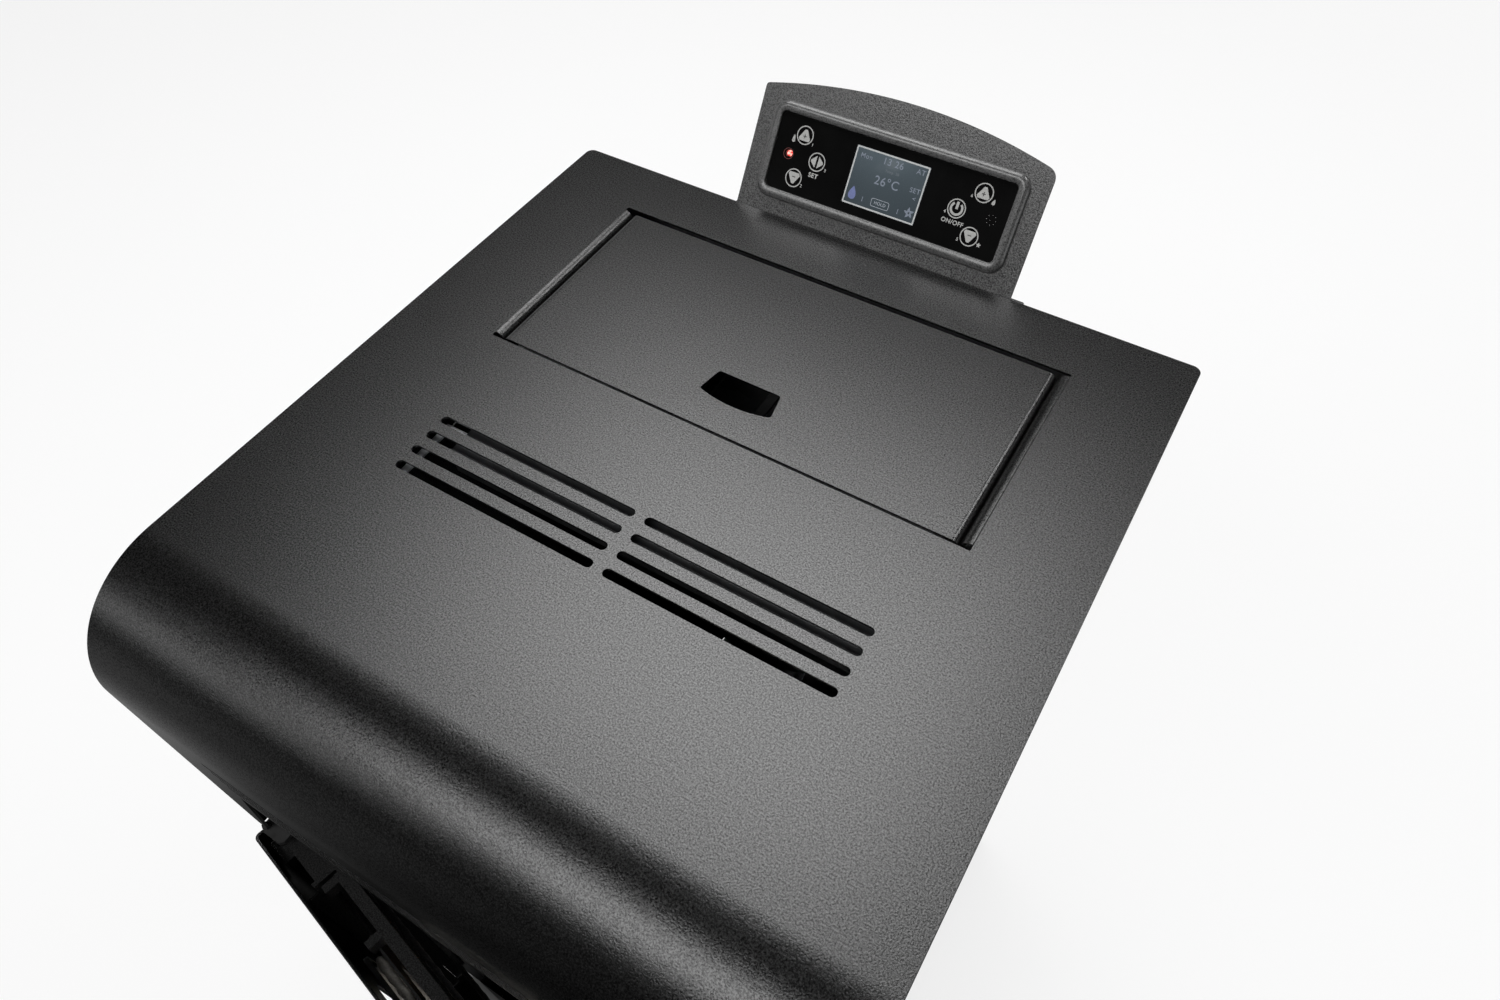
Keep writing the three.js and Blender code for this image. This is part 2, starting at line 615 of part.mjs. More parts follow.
function panelBackCover() {
  return shell([-98, 98, PANEL.plate + GAP, 24, 9, 82], [-96.5, 96.5, 1, 22.5, 10.5, 80.5]);
}

function panelBoard() {
  return join(
    box(-92, 92, 7, 8.6, 13, 78),
    box(-70, -40, 8, 16, 24, 44),
    box(30, 62, 8, 14, 30, 56),
    box(-20, 8, 8, 12, 60, 72),
    box(-30, 30, 3, 7.5, 20, 26),
  );
}

// ---------------------------------------------------------------- fire door

const doorGroup = new THREE.Group();
doorGroup.position.set(PIVOT.x, back(PIVOT.back), 0);
doorGroup.rotation.z = -DOOR_AJAR;

// In the door's group u runs from its hinge edge, w inwards from its outer face.
const doorU = (u) => u - PIVOT_IN_DOOR.u;
const doorW = (w) => w - PIVOT_IN_DOOR.w;
const doorBox = (u0, u1, w0, w1, z0, z1) => box(doorU(u0), doorU(u1), doorW(w0), doorW(w1), z0, z1);
const doorRect = (u0, u1, z0, z1, radius) => roundedRect(doorU(u0), doorU(u1), z0, z1, radius);
const doorPlate = (shape, w0, w1) => alongY(shape, doorW(w1), doorW(w0));

// The skin is a tray that is open at the top. Its upright edges are bent inwards.
function doorSkin() {
  const { left, width, low, high, skin, bend, depth, lip } = DOOR;
  const plan = (inset) => roundedRect(
    doorU(left + inset), doorU(width - inset), doorW(inset), doorW(depth + 20), bend - inset,
  );
  const tray = cut(
    alongZ(plan(0), low, high),
    alongZ(plan(skin), low + skin, high + 1),
    doorBox(left - 1, width + 1, depth, depth + 30, low - 1, high + 1),
    doorBox(left + skin, width - skin, lip, depth + 1, low - 1, low + skin + 1),
  );
  const window = doorPlate(
    doorRect(WINDOW.left, WINDOW.right, WINDOW.low, WINDOW.high, WINDOW.corner), -1, skin + 1,
  );
  const spindle = rod(
    Y, 5, [doorU(HANDLE.u), doorW(-2), HANDLE.z], [doorU(HANDLE.u), doorW(6), HANDLE.z], 16,
  );
  return cut(tray, window, spindle);
}

// The welded inner frame: a rear ring, a collar that is open at the top, the lip that clamps
// the glass, and a rail with cross bars along the top.
function doorFrame() {
  const ring = doorRect(22, DOOR.width - 26, DOOR.low + 8, DOOR.high - 2, 4);
  ring.holes.push(doorRect(60, DOOR.width - 58, DOOR.low + 46, DOOR.high - 30, 3));
  const collar = doorRect(64, DOOR.width - 62, DOOR.low + 50, DOOR.high - 16, 3);
  collar.holes.push(doorRect(66.5, DOOR.width - 64.5, DOOR.low + 52.5, DOOR.high - 18.5, 2));
  const lip = doorRect(65, DOOR.width - 63, DOOR.low + 51, DOOR.high - 36, 3);
  lip.holes.push(doorRect(WINDOW.left, WINDOW.right, WINDOW.low, DOOR.high - 50, 6));
  const topLip = cut(
    doorBox(124, DOOR.width - 124, 20.3, 22.3, WINDOW.high - 20, DOOR.high - 15),
    doorBox(WINDOW.left, WINDOW.right, 19, 24, WINDOW.high - 30, WINDOW.high),
  );
  const rearRing = doorPlate(ring, 31.5, 38);
  const wall = cut(
    doorPlate(collar, 2.8, 32),
    doorBox(66.5, DOOR.width - 64.5, 2, 33, DOOR.high - 30, DOOR.high),
  );
  const topRail = doorBox(70, DOOR.width - 70, 28, 33, DOOR.high - 10, DOOR.high - 2.3);
  const hingePlate = doorBox(22, 65, 15, 32, DOOR.high - 6, DOOR.high - 4);
  const hingeFlange = doorBox(63.4, 67, 12, 32, DOOR.high - 20, DOOR.high - 2.2);
  const sidePlate = doorBox(22, 24.5, 15, 32, DOOR.low + 8, DOOR.high - 4);
  const bars = [70.4, 130.4, DOOR.width - 137.4, DOOR.width - 77.4].map((u) =>
    doorBox(u, u + 7, 16, 33, DOOR.high - 17, DOOR.high - 3));
  const spindleBlock = doorBox(HANDLE.u - 14, HANDLE.u + 10, 2.8, 33, HANDLE.z - 16, HANDLE.z + 16);
  const spindleTie = doorBox(DOOR.width - 63, HANDLE.u, 16, 30, HANDLE.z - 10, HANDLE.z + 10);
  const hingeBlocks = [DOOR.low + 8, DOOR.high - 34].map((z) => doorBox(6, 30, 6, 24, z, z + 24));
  const frame = join(
    rearRing, wall, doorPlate(lip, 20.3, 22.3), topLip,
    topRail, hingePlate, hingeFlange, sidePlate, ...bars, spindleBlock, spindleTie, ...hingeBlocks,
  );
  const pivotBore = rod(Z, 4.6, [0, 0, 100], [0, 0, 700], 16);
  const spindle = rod(
    Y, 4.6, [doorU(HANDLE.u), doorW(-2), HANDLE.z], [doorU(HANDLE.u), doorW(50), HANDLE.z], 16,
  );
  return cut(frame, pivotBore, spindle);
}

function doorGlass() {
  return doorPlate(doorRect(132, DOOR.width - 132, 250, DOOR.high - 18, 4), 7, 11);
}

// The fibre rope between the glass and the frame's lip.
function glassSeal() {
  const ring = doorRect(134, DOOR.width - 134, 252, DOOR.high - 18.5, 8);
  ring.holes.push(doorRect(145, DOOR.width - 145, 263, DOOR.high - 29.5, 6));
  return doorPlate(ring, 11.3, 20);
}

// The rope round the rear of the door that seals it on the firebox.
function doorSeal() {
  const ring = doorRect(30, 428, 168, 552, 14);
  ring.holes.push(doorRect(39, 419, 177, 543, 10));
  return doorPlate(ring, 38.3, 43.6);
}

const doorHingePivot = (z0, z1) =>
  rod(Z, 4, [PIVOT.x, back(PIVOT.back), z0], [PIVOT.x, back(PIVOT.back), z1], 16);

// A bracket on the face plate. Its arm carries one of the door's two pivot pins and a bolt.
function hingeBracket(armLow, uprightLow, uprightHigh, pinLow, pinHigh, boltLow) {
  const { outer, left, right, front, shoulder, bolt } = HINGE_ARM;
  const rear = back(FACE_PLATE.front + GAP);
  const outline = shapeOf([
    [left, rear], [left, back(shoulder)], [outer, back(shoulder)], [outer, back(front - 5)],
    [outer + 5, back(front)], [right - 3, back(front)], [right, back(front - 3)], [right, rear],
  ]);
  const upright = box(left, right, rear, rear - 3, uprightLow, uprightHigh);
  const boltHead = rod(Z, 3.4, [bolt.x, back(bolt.back), boltLow], [bolt.x, back(bolt.back), boltLow + 3.2], 6);
  return join(alongZ(outline, armLow, armLow + 4), upright, boltHead, doorHingePivot(pinLow, pinHigh));
}

const hingeUpper = () => hingeBracket(
  DOOR.high + 0.5, DOOR.high + 0.7, DOOR.high + 24, DOOR.high - 24, DOOR.high + 3, DOOR.high + 4.3,
);

const hingeLower = () => hingeBracket(
  DOOR.low - 4.4, DOOR.low - 14, DOOR.low - 0.6, DOOR.low - 3, DOOR.low + 26, DOOR.low - 6.4,
);

const handleGroup = new THREE.Group();
handleGroup.position.set(doorU(HANDLE.u), doorW(0), HANDLE.z);
doorGroup.add(handleGroup);

// The spindle with its latch tongue, which points down until the handle is turned.
function latchSpindle() {
  const shaft = rod(Y, 4, [0, 43.6, 0], [0, -8, 0], 16);
  const tongue = roundedRect(-8, 8, -24, 8, 6);
  return join(shaft, alongY(tongue, 43.2, 38.5));
}

// The lever: a boss on the spindle and a bar that bows away from the door.
function doorHandle() {
  const boss = cut(rod(Y, 11, [0, -0.5, 0], [0, -20, 0], 24), rod(Y, 4 + GAP, [0, 1, 0], [0, -8.3, 0], 16));
  const curve = new THREE.CatmullRomCurve3([
    new THREE.Vector3(-4, -14, 0),
    new THREE.Vector3(-30, -19, 0),
    new THREE.Vector3(-62, -22, 0),
    new THREE.Vector3(-98, -18, 0),
  ]);
  const section = new THREE.Shape();
  section.absellipse(0, 0, 5, 8, 0, Math.PI * 2);
  const bar = new THREE.ExtrudeGeometry(section, { steps: 10, extrudePath: curve, curveSegments: 6 });
  return join(boss, bar);
}

function latchKeeper() {
  const [left, right] = [466.5 - DOOR.width / 2, 482 - DOOR.width / 2];
  return join(
    box(right - 4.5, right, back(489.9), back(502.4), HANDLE.z - 12, HANDLE.z + 12),
    box(left, right, back(497.4), back(502.4), HANDLE.z - 12, HANDLE.z + 12),
  );
}

// ---------------------------------------------------------------- firebox

// The bulkhead behind the door. It stands on the base at both sides of the ash drawer.
function facePlate() {
  const { half, low, high, front, thick } = FACE_PLATE;
  const plateBetween = (x0, x1, z0, z1) => box(x0, x1, back(front), back(front - thick), z0, z1);
  const plate = join(
    plateBetween(-half, half, low, high),
    ...[-1, 1].map((side) => plateBetween(side * 186, side * 243, BASE.low + SHEET + GAP, low + 1)),
  );
  const mouth = roundedRect(
    -MOUTH_OF_FIRE.half, MOUTH_OF_FIRE.half, MOUTH_OF_FIRE.low, MOUTH_OF_FIRE.high, 8,
  );
  const rodHole = rod(Y, 5.4, [SCRAPER.x, back(480), SCRAPER.z], [SCRAPER.x, back(495), SCRAPER.z], 16);
  const airGap = roundedRect(-170, 130, 528, 582, 6);
  return cut(plate, alongY(mouth, back(480), back(495)), alongY(airGap, back(480), back(495)), rodHole);
}

function firebox() {
  const { half, front, rear, floor, roof, wall } = BOX;
  const body = shell(
    [-half, half, back(front), back(rear), floor, roof],
    [-half + wall, half - wall, back(front + 1), back(rear + wall), floor + wall, roof - wall],
  );
  const airHole = rod(Z, 26, [0, back(POT.back), floor - 1], [0, back(POT.back), floor + wall + 1]);
  const ashSlots = [-1, 1].map((side) =>
    box(side * 75, side * 150, back(380), back(440), floor - 1, floor + wall + 1));
  const smokeHole = box(
    -half - 1, -half + wall + 1, back(rear + 12), back(rear + 62), floor + 20, floor + 80,
  );
  const chuteHole = box(-33, 33, back(rear - 1), back(rear + wall + 1), 348, 428);
  return cut(body, airHole, ...ashSlots, smokeHole, chuteHole);
}

function linerBack() {
  const z0 = BOX.floor + BOX.wall + GAP;
  const rear = BOX.rear + BOX.wall + GAP;
  const plate = box(-160, 160, back(rear), back(rear + 14), z0, 486);
  const grooves = [];
  for (let i = -4; i <= 4; i++) {
    grooves.push(box(i * 34 - 3, i * 34 + 3, back(rear + 11), back(rear + 15), z0 + 20, 470));
  }
  return cut(plate, ...grooves, box(-35, 35, back(rear - 1), back(rear + 16), 340, 430));
}

function linerSide(side) {
  const outer = side * (BOX.half - BOX.wall - GAP);
  return box(outer, outer - side * 12, back(320), back(470), BOX.floor + BOX.wall + GAP, 486);
}

function baffle() {
  const plate = box(-180, 180, back(300), back(476), 490, 498);
  return cut(plate, ...[-1, 1].map((side) => box(side * 120, side * 170, back(440), back(460), 489, 499)));
}

// The cup that the pellets burn in, perforated at its foot.
function burnPot() {
  const { half, depth, high, wall, flange } = POT;
  const low = BOX.floor + BOX.wall + GAP;
  const y = back(POT.back);
  const cup = cut(
    join(box(-half, half, y - depth, y + depth, low, high),
      box(-half - flange, half + flange, y - depth - flange, y + depth + flange, high - 4, high)),
    box(-half + wall, half - wall, y - depth + wall, y + depth - wall, low + wall, high + 1),
  );
  const holes = [];
  for (let column = -2; column <= 2; column++) {
    const [x, sideX] = [column * 8, column * 16];
    for (let row = -1; row <= 1; row++) {
      holes.push(rod(Z, 2.5, [x, y + row * 9, low - 1], [x, y + row * 9, low + wall + 1], 6));
    }
    holes.push(rod(Y, 2.5, [sideX, y - depth - 1, low + 18], [sideX, y + depth + 1, low + 18], 6));
  }
  return cut(cup, ...holes);
}

// The air box under the pot, fed by the intake pipe.
function airBox() {
  const y = back(POT.back);
  const body = shell(
    [-46, 92, y - 34, y + 34, 132, BOX.floor - GAP],
    [-44, 90, y - 32, y + 32, 134, BOX.floor + 1],
  );
  const { x, z, radius } = AIR_PIPE;
  const inlet = rod(Y, radius + 0.5, [x, y + 20, z], [x, y + 40, z]);
  const igniterHole = rod(Y, 7, [-20, y + 20, 180], [-20, y + 40, 180], 16);
  return cut(body, inlet, igniterHole);
}

function airPipe() {
  const { x, z, radius, reach, front } = AIR_PIPE;
  return pipe(Y, radius, radius - 1.5, [x, back(front + 6), z], [x, back(-reach), z], 32);
}

function igniter() {
  const y = back(POT.back);
  return join(
    rod(Y, 5, [-20, y - 12, 180], [-20, y + 110, 180], 16),
    rod(Y, 11, [-20, y + 34 + GAP, 180], [-20, y + 38, 180], 16),
    rod(Y, 9, [-20, y + 60, 180], [-20, y + 96, 180], 16),
  );
}

// ---------------------------------------------------------------- heat exchanger and its scraper

const tubePlaces = () =>
  Array.from({ length: TUBES.count }, (_, i) => (i - (TUBES.count - 1) / 2) * TUBES.pitch - 20);

function heatExchanger() {
  const { front, rear, low, high, z, radius, sides } = TUBES;
  const ends = [front, rear + 3].map((d) => box(-176, 176, back(d), back(d - 3), low, high));
  const tubes = tubePlaces().map((x) => rod(Y, radius, [x, back(rear), z], [x, back(front), z], sides));
  const bores = tubePlaces().map((x) =>
    rod(Y, radius - 2, [x, back(rear - 2), z], [x, back(front + 2), z], sides));
  const floorPlate = box(-176, 176, back(rear), back(front), low, low + 2);
  return cut(join(...ends, floorPlate, ...tubes), ...bores);
}

function tubeScraper() {
  const { plate, knob, x, z } = SCRAPER;
  const comb = box(-172, 172, back(plate), back(plate + 3), TUBES.low + 3, SCRAPER.z + 8);
  const { radius, sides } = TUBES;
  const holes = tubePlaces().map((tx) =>
    rod(Y, radius + 0.8, [tx, back(plate - 1), TUBES.z], [tx, back(plate + 4), TUBES.z], sides));
  const pull = rod(Y, 4, [x, back(plate + 1), z], [x, back(knob - 6), z], 16);
  const grip = rod(Y, 9, [x, back(knob - 8), z], [x, back(knob), z], 20);
  return join(cut(comb, ...holes), pull, grip);
}

// ---------------------------------------------------------------- pellet feed

function augerTube() {
  const { z, outer, inner, front, rear } = AUGER;
  const middle = (OUTLET.rear + OUTLET.front) / 2;
  const tube = pipe(Y, outer, inner, [0, back(front), z], [0, back(rear), z], 28);
  const throat = shell(
    [-OUTLET.half, OUTLET.half, back(middle - 28), back(middle + 28), z, OUTLET.height - GAP],
    [-OUTLET.half + 2, OUTLET.half - 2, back(middle - 26), back(middle + 26), z - 1, OUTLET.height + 1],
  );
  const hollow = rod(Y, inner, [0, back(front + 1), z], [0, back(rear - 1), z], 28);
  const inletCut = box(-24, 24, back(middle - 26), back(middle + 26), z, z + outer + 4);
  const dropCut = box(-20, 20, back(front - 2), back(front - 38), z - outer - 2, z - 5);
  const cap = rod(Y, outer, [0, back(front), z], [0, back(front - 2), z], 28);
  return cut(join(cut(join(tube, throat), hollow), cap), inletCut, dropCut);
}

// The screw: a helical flight of constant pitch on its shaft.
function augerScrew() {
  const { z, flight, shaft, pitch, turns, front, rear } = AUGER;
  const stepsPerTurn = 16;
  const steps = turns * stepsPerTurn;
  const half = 1.4;
  const start = back(front - 10);
  const positions = [];
  for (let i = 0; i <= steps; i++) {
    const angle = (i / stepsPerTurn) * Math.PI * 2;
    const y = start + (i / stepsPerTurn) * pitch;
    for (const [radius, offset] of [[shaft - 2, -half], [flight, -half], [flight, half], [shaft - 2, half]]) {
      positions.push(radius * Math.cos(angle), y + offset, radius * Math.sin(angle));
    }
  }
  const last = steps * 4;
  const faces = [[0, 2, 1], [0, 3, 2], [last, last + 1, last + 2], [last, last + 2, last + 3]];
  for (let i = 0; i < steps; i++) {
    for (let corner = 0; corner < 4; corner++) {
      const a = i * 4 + corner;
      const b = i * 4 + ((corner + 1) % 4);
      faces.push([a, b, a + 4], [b, b + 4, a + 4]);
    }
  }
  const geometry = new THREE.BufferGeometry();
  geometry.setAttribute('position', new THREE.Float32BufferAttribute(positions, 3));
  geometry.setIndex(faces.flat());
  const core = rod(Y, shaft, [0, back(front - 4), 0], [0, back(rear - 4), 0], 16);
  return join(geometry, core).translate(0, 0, z);
}

function gearMotor() {
  const { z, rear } = AUGER;
  const flange = box(-36, 36, back(rear - 4.6), back(rear - 0.4), z - 36, z + 36);
  const gearbox = box(-34, 34, back(rear - 32), back(rear - 4), z - 34, z + 30);
  const motor = rod(Y, 24, [0, back(rear - 31), z - 4], [0, back(rear - 70), z - 4], 24);
  const seat = rod(Y, AUGER.shaft + 0.5, [0, back(rear + 1), z], [0, back(rear - 10), z], 16);
  return cut(join(flange, gearbox, motor), seat);
}

// The chute from the auger down through the firebox's rear wall.
function pelletChute() {
  const half = 28;
  const wall = 2;
  const flat = shapeOf([
    [back(189), 437.5], [back(189), 418], [back(262), 352],
    [back(262), 388], [back(225), 421.5], [back(225), 437.5],
  ]);
  const hollow = shapeOf([
    [back(189 + wall), 439], [back(189 + wall), 419], [back(263), 354], [back(263), 386],
    [back(225 - wall), 420.5], [back(225 - wall), 439],
  ]);
  return cut(alongX(flat, -half, half), alongX(hollow, -half + wall, half - wall));
}

// ---------------------------------------------------------------- fans

// The exhaust blower's case: a drum with a tangent outlet and the round flue collar.
function exhaustCase() {
  const { x, half, back: depth, z, radius, shell: wall, collar, reach } = EXHAUST;
  const y = back(depth);
  const outletZ = z + radius - collar;
  const drum = rod(X, radius, [x - half, y, z], [x + half, y, z], 28);
  const duct = box(x - half, x + half, y, back(20), z + radius - 2 * collar, z + radius);
  const neck = rod(Y, collar, [x, back(21), outletZ], [x, back(-reach), outletZ], 32);
  const drumHollow = rod(X, radius - wall, [x - half + wall, y, z], [x + half - wall, y, z], 28);
  const ductHollow = box(
    x - half + wall, x + half - wall, y, back(20 + wall), z + radius - 2 * collar + wall, z + radius - wall,
  );
  const neckHollow = rod(Y, collar - 2, [x, back(30), outletZ], [x, back(-reach - 1), outletZ], 32);
  const inlet = rod(X, 30, [x - half - 1, y, z], [x - half + wall + 1, y, z], 24);
  const shaftHole = rod(X, 8, [x + half - wall - 1, y, z], [x + half + 1, y, z], 16);
  const feet = [-44, 36].map((offset) =>
    box(x - half, x + half, y + offset, y + offset + 8, BASE.low + SHEET + GAP, z - radius + 22));
  return cut(join(drum, duct, neck, ...feet), drumHollow, ductHollow, neckHollow, inlet, shaftHole);
}

function exhaustImpeller() {
  const { x, half, back: depth, z } = EXHAUST;
  const y = back(depth);
  const right = x + half - 8;
  const parts = [
    rod(X, 62, [right - 2.5, y, z], [right, y, z], 32),
    rod(X, 12, [right - 22, y, z], [right, y, z], 20),
    rod(X, 4, [right - 4, y, z], [x + half + 26, y, z], 12),
  ];
  for (let i = 0; i < 8; i++) {
    const blade = box(right - 40, right - 1, 11, 60, -1, 1);
    parts.push(blade.rotateX((i * Math.PI) / 4).translate(0, y, z));
  }
  return join(...parts);
}

function exhaustMotor() {
  const { x, half, back: depth, z } = EXHAUST;
  const y = back(depth);
  const start = x + half;
  const body = join(
    rod(X, 46, [start + 0.4, y, z], [start + 4, y, z], 24),
    rod(X, 34, [start + 3, y, z], [start + 62, y, z], 24),
  );
  return cut(body, rod(X, 5.5, [start - 1, y, z], [start + 30, y, z], 12));
}

// The duct from the firebox's left wall down to the exhaust blower's inlet.
function smokeDuct() {
  const [x0, x1, narrow] = [-238, EXHAUST.x - EXHAUST.half - 1.5, -BOX.half - 0.6];
  const lower = box(x0, x1, back(64), back(240), 92, 164);
  const riser = box(x0, narrow, back(236), back(306), 92, 296);
  const inside = join(
    box(x0 + 2, x1 - 2, back(66), back(238), 94, 162),
    box(x0 + 2, narrow - 2, back(230), back(304), 94, 294),
  );
  const { back: depth, z } = EXHAUST;
  const fanHole = rod(X, 30, [x1 - 4, back(depth), z], [x1 + 1, back(depth), z], 24);
  const fireHole = box(narrow - 4, narrow + 1, back(246), back(292), 222, 278);
  return cut(join(lower, riser), inside, fanHole, fireHole);
}

// The room-air blower: a long drum rotor in a scroll with its mouth upwards.
function roomFanCase() {
  const { left, right, back: depth, z, rotor } = ROOM_FAN;
  const y = back(depth);
  const outer = join(
    rod(X, rotor + 8, [left - 4, y, z], [right + 4, y, z], 28),
    box(left - 4, right + 4, y - rotor - 8, y, z, z + 60),
    box(left - 4, right + 4, y - 14, y + 14, BASE.low + SHEET + GAP, z - rotor - 2),
  );
  const inner = join(
    rod(X, rotor + 6, [left - 2, y, z], [right + 2, y, z], 28),
    box(left - 2, right + 2, y - rotor - 6, y - 2, z, z + 61),
  );
  const intake = box(left + 6, right - 6, y + 6, y + rotor + 10, z - 6, z + 40);
  const shaftHoles = rod(X, 6, [left - 6, y, z], [right + 6, y, z], 12);
  return cut(outer, inner, intake, shaftHoles);
}

const VANES = 12;

function roomFanRotor() {
  const { left, right, back: depth, z, rotor } = ROOM_FAN;
  const y = back(depth);
  const parts = [rod(X, 4, [left, y, z], [right + 18, y, z], 12)];
  for (const x of [left, (left + right) / 2 - 1, right - 2]) {
    parts.push(rod(X, rotor, [x, y, z], [x + 2, y, z], 24));
  }
  for (let i = 0; i < VANES; i++) {
    const vane = box(left, right, rotor - 10, rotor - 1, -0.8, 0.8);
    parts.push(vane.rotateX((i * 2 * Math.PI) / VANES).translate(0, y, z));
  }
  return join(...parts);
}

function roomFanMotor() {
  const { right, back: depth, z } = ROOM_FAN;
  const y = back(depth);
  const start = right + 4.4;
  const flange = rod(X, 30, [start, y, z], [start + 4, y, z], 20);
  const can = rod(X, 24, [start + 3, y, z], [start + 36, y, z], 20);
  return cut(join(flange, can), rod(X, 5.5, [start - 1, y, z], [start + 20, y, z], 12));
}

// ---------------------------------------------------------------- ash drawer and small parts

function ashDrawer() {
  const { half, low, high, front, rear, faceHigh, faceLow } = DRAWER;
  const tray = shell(
    [-half, half, back(rear), back(front), low, high],
    [-half + THIN, half - THIN, back(rear + THIN), back(front - THIN), low + THIN, high + 1],
  );
  const link = box(-150, 150, back(front - 1), back(531), low + 12, low + 40);
  const face = alongY(
    roundedRect(-DOOR.width / 2, DOOR.width / 2, faceLow, faceHigh, 4), back(530.5), back(533.5),
  );
  const handHole = roundedRect(-60, 60, faceHigh - 30, faceHigh - 14, 7);
  return cut(join(tray, link, face), alongY(handHole, back(520), back(540)));
}

function controlBoard() {
  const x = HALF - 8;
  const standoffs = [[154, 474], [306, 474], [154, 636], [306, 636]].map(([distance, z]) =>
    rod(X, 3, [x - 1, back(distance), z], [HALF - 1 - SHEET - GAP, back(distance), z], 8));
  return join(
    ...standoffs,
    box(x - 2, x, back(150), back(310), 470, 640),
    box(x - 26, x - 1, back(170), back(210), 490, 530),
    box(x - 18, x - 1, back(230), back(290), 560, 590),
    box(x - 14, x - 1, back(170), back(200), 580, 620),
    box(x - 12, x - 1, back(240), back(300), 480, 500),
  );
}

function powerInlet() {
  const { x, z } = SWITCH;
  const body = join(
    box(x - 26, x + 26, back(-2.6), back(0), z - 17, z + 43),
    box(x - 23, x + 23, back(-1), back(22), z - 14, z + 40),
  );
  const socket = alongY(roundedRect(x - 12, x + 12, z - 8, z + 8, 3), back(-4), back(14));
  const switchBay = box(x - 11, x + 11, back(-4), back(12), z + 19.5, z + 36.5);
  return cut(body, socket, switchBay);
}

// The rocker, tipped to its ON side.
function powerRocker() {
  const shape = shapeOf([[-1.6, -7.4], [3.2, -7.4], [1.4, 0], [3.2, 7.4], [-1.6, 7.4], [-5, 0]]);
  const rocker = alongX(shape, -10.4, 10.4);
  return rocker.rotateX(THREE.MathUtils.degToRad(7)).translate(SWITCH.x, back(-2), SWITCH.z + 28);
}

// ---------------------------------------------------------------- assembly

add('hood', powderCoat, hood());
add('side_panel_left', powderCoat, sidePanel(-1));
add('side_panel_right', powderCoat, sidePanel(1));
add('rear_panel', galvanised, rearPanel());
add('base_plate', stovePaint, basePlate());
add('outlet_grille', darkInside, outletGrille());
for (const place of footPlaces()) {
  add(`foot_${place.name}`, steel, levellingFoot(place));
}

add('hopper_lid', powderCoat, hopperLid());
add('lid_hinge_pin', steel, lidHingePin());
add('hopper', galvanised, hopper());
add('hopper_guard', galvanised, hopperGuard());
add('lid_seal', darkSeal, lidSeal());
add('top_shield', galvanised, topShield());

stove.add(panelGroup);
add('panel_plate', powderCoat, panelPlate(), panelGroup);
add('panel_bezel', powderCoat, panelBezel(), panelGroup);
add('panel_glass', blackGlass, panelGlass(), panelGroup);
add('display_module', displayGrey, displayModule(), panelGroup);
add('status_led', redLens, statusLed(), panelGroup);
add('panel_back_cover', powderCoat, panelBackCover(), panelGroup);
add('panel_board', board, panelBoard(), panelGroup);

stove.add(doorGroup);
add('door_skin', powderCoat, doorSkin(), doorGroup);
add('door_frame', stovePaint, doorFrame(), doorGroup);
add('door_glass', clearGlass, doorGlass(), doorGroup);
add('glass_seal', ropeSeal, glassSeal(), doorGroup);
add('door_seal', darkSeal, doorSeal(), doorGroup);
add('latch_spindle', steel, latchSpindle(), handleGroup);
add('door_handle', steel, doorHandle(), handleGroup);
add('door_hinge_upper', stovePaint, hingeUpper());
add('door_hinge_lower', stovePaint, hingeLower());
add('latch_keeper', galvanised, latchKeeper());

add('face_plate', stovePaint, facePlate());
add('firebox', stovePaint, firebox());
add('liner_back', brick, linerBack());
add('liner_left', brick, linerSide(-1));
add('liner_right', brick, linerSide(1));
add('baffle_plate', castIron, baffle());
add('burn_pot', castIron, burnPot());
add('air_box', galvanised, airBox());
add('air_intake_pipe', galvanised, airPipe());
add('igniter', aluminium, igniter());
add('heat_exchanger', stovePaint, heatExchanger());
add('tube_scraper', steel, tubeScraper());

add('auger_tube', galvanised, augerTube());
add('auger_screw', steel, augerScrew());
add('gear_motor', motorGrey, gearMotor());
add('pellet_chute', galvanised, pelletChute());

add('exhaust_case', aluminium, exhaustCase());
add('exhaust_impeller', steel, exhaustImpeller());
add('exhaust_motor', motorGrey, exhaustMotor());
add('smoke_duct', galvanised, smokeDuct());
add('room_fan_case', galvanised, roomFanCase());
add('room_fan_rotor', aluminium, roomFanRotor());
add('room_fan_motor', motorGrey, roomFanMotor());

add('ash_drawer', powderCoat, ashDrawer());
add('control_board', board, controlBoard());
add('power_inlet', plastic, powerInlet());
add('power_rocker', plastic, powerRocker());

export default stove;
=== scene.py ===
"""Looks of a pellet stove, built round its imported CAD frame. Metres, +Z up, the door faces -Y."""

import json
import math

import bmesh
import bpy
from mathutils import Matrix, Vector, noise

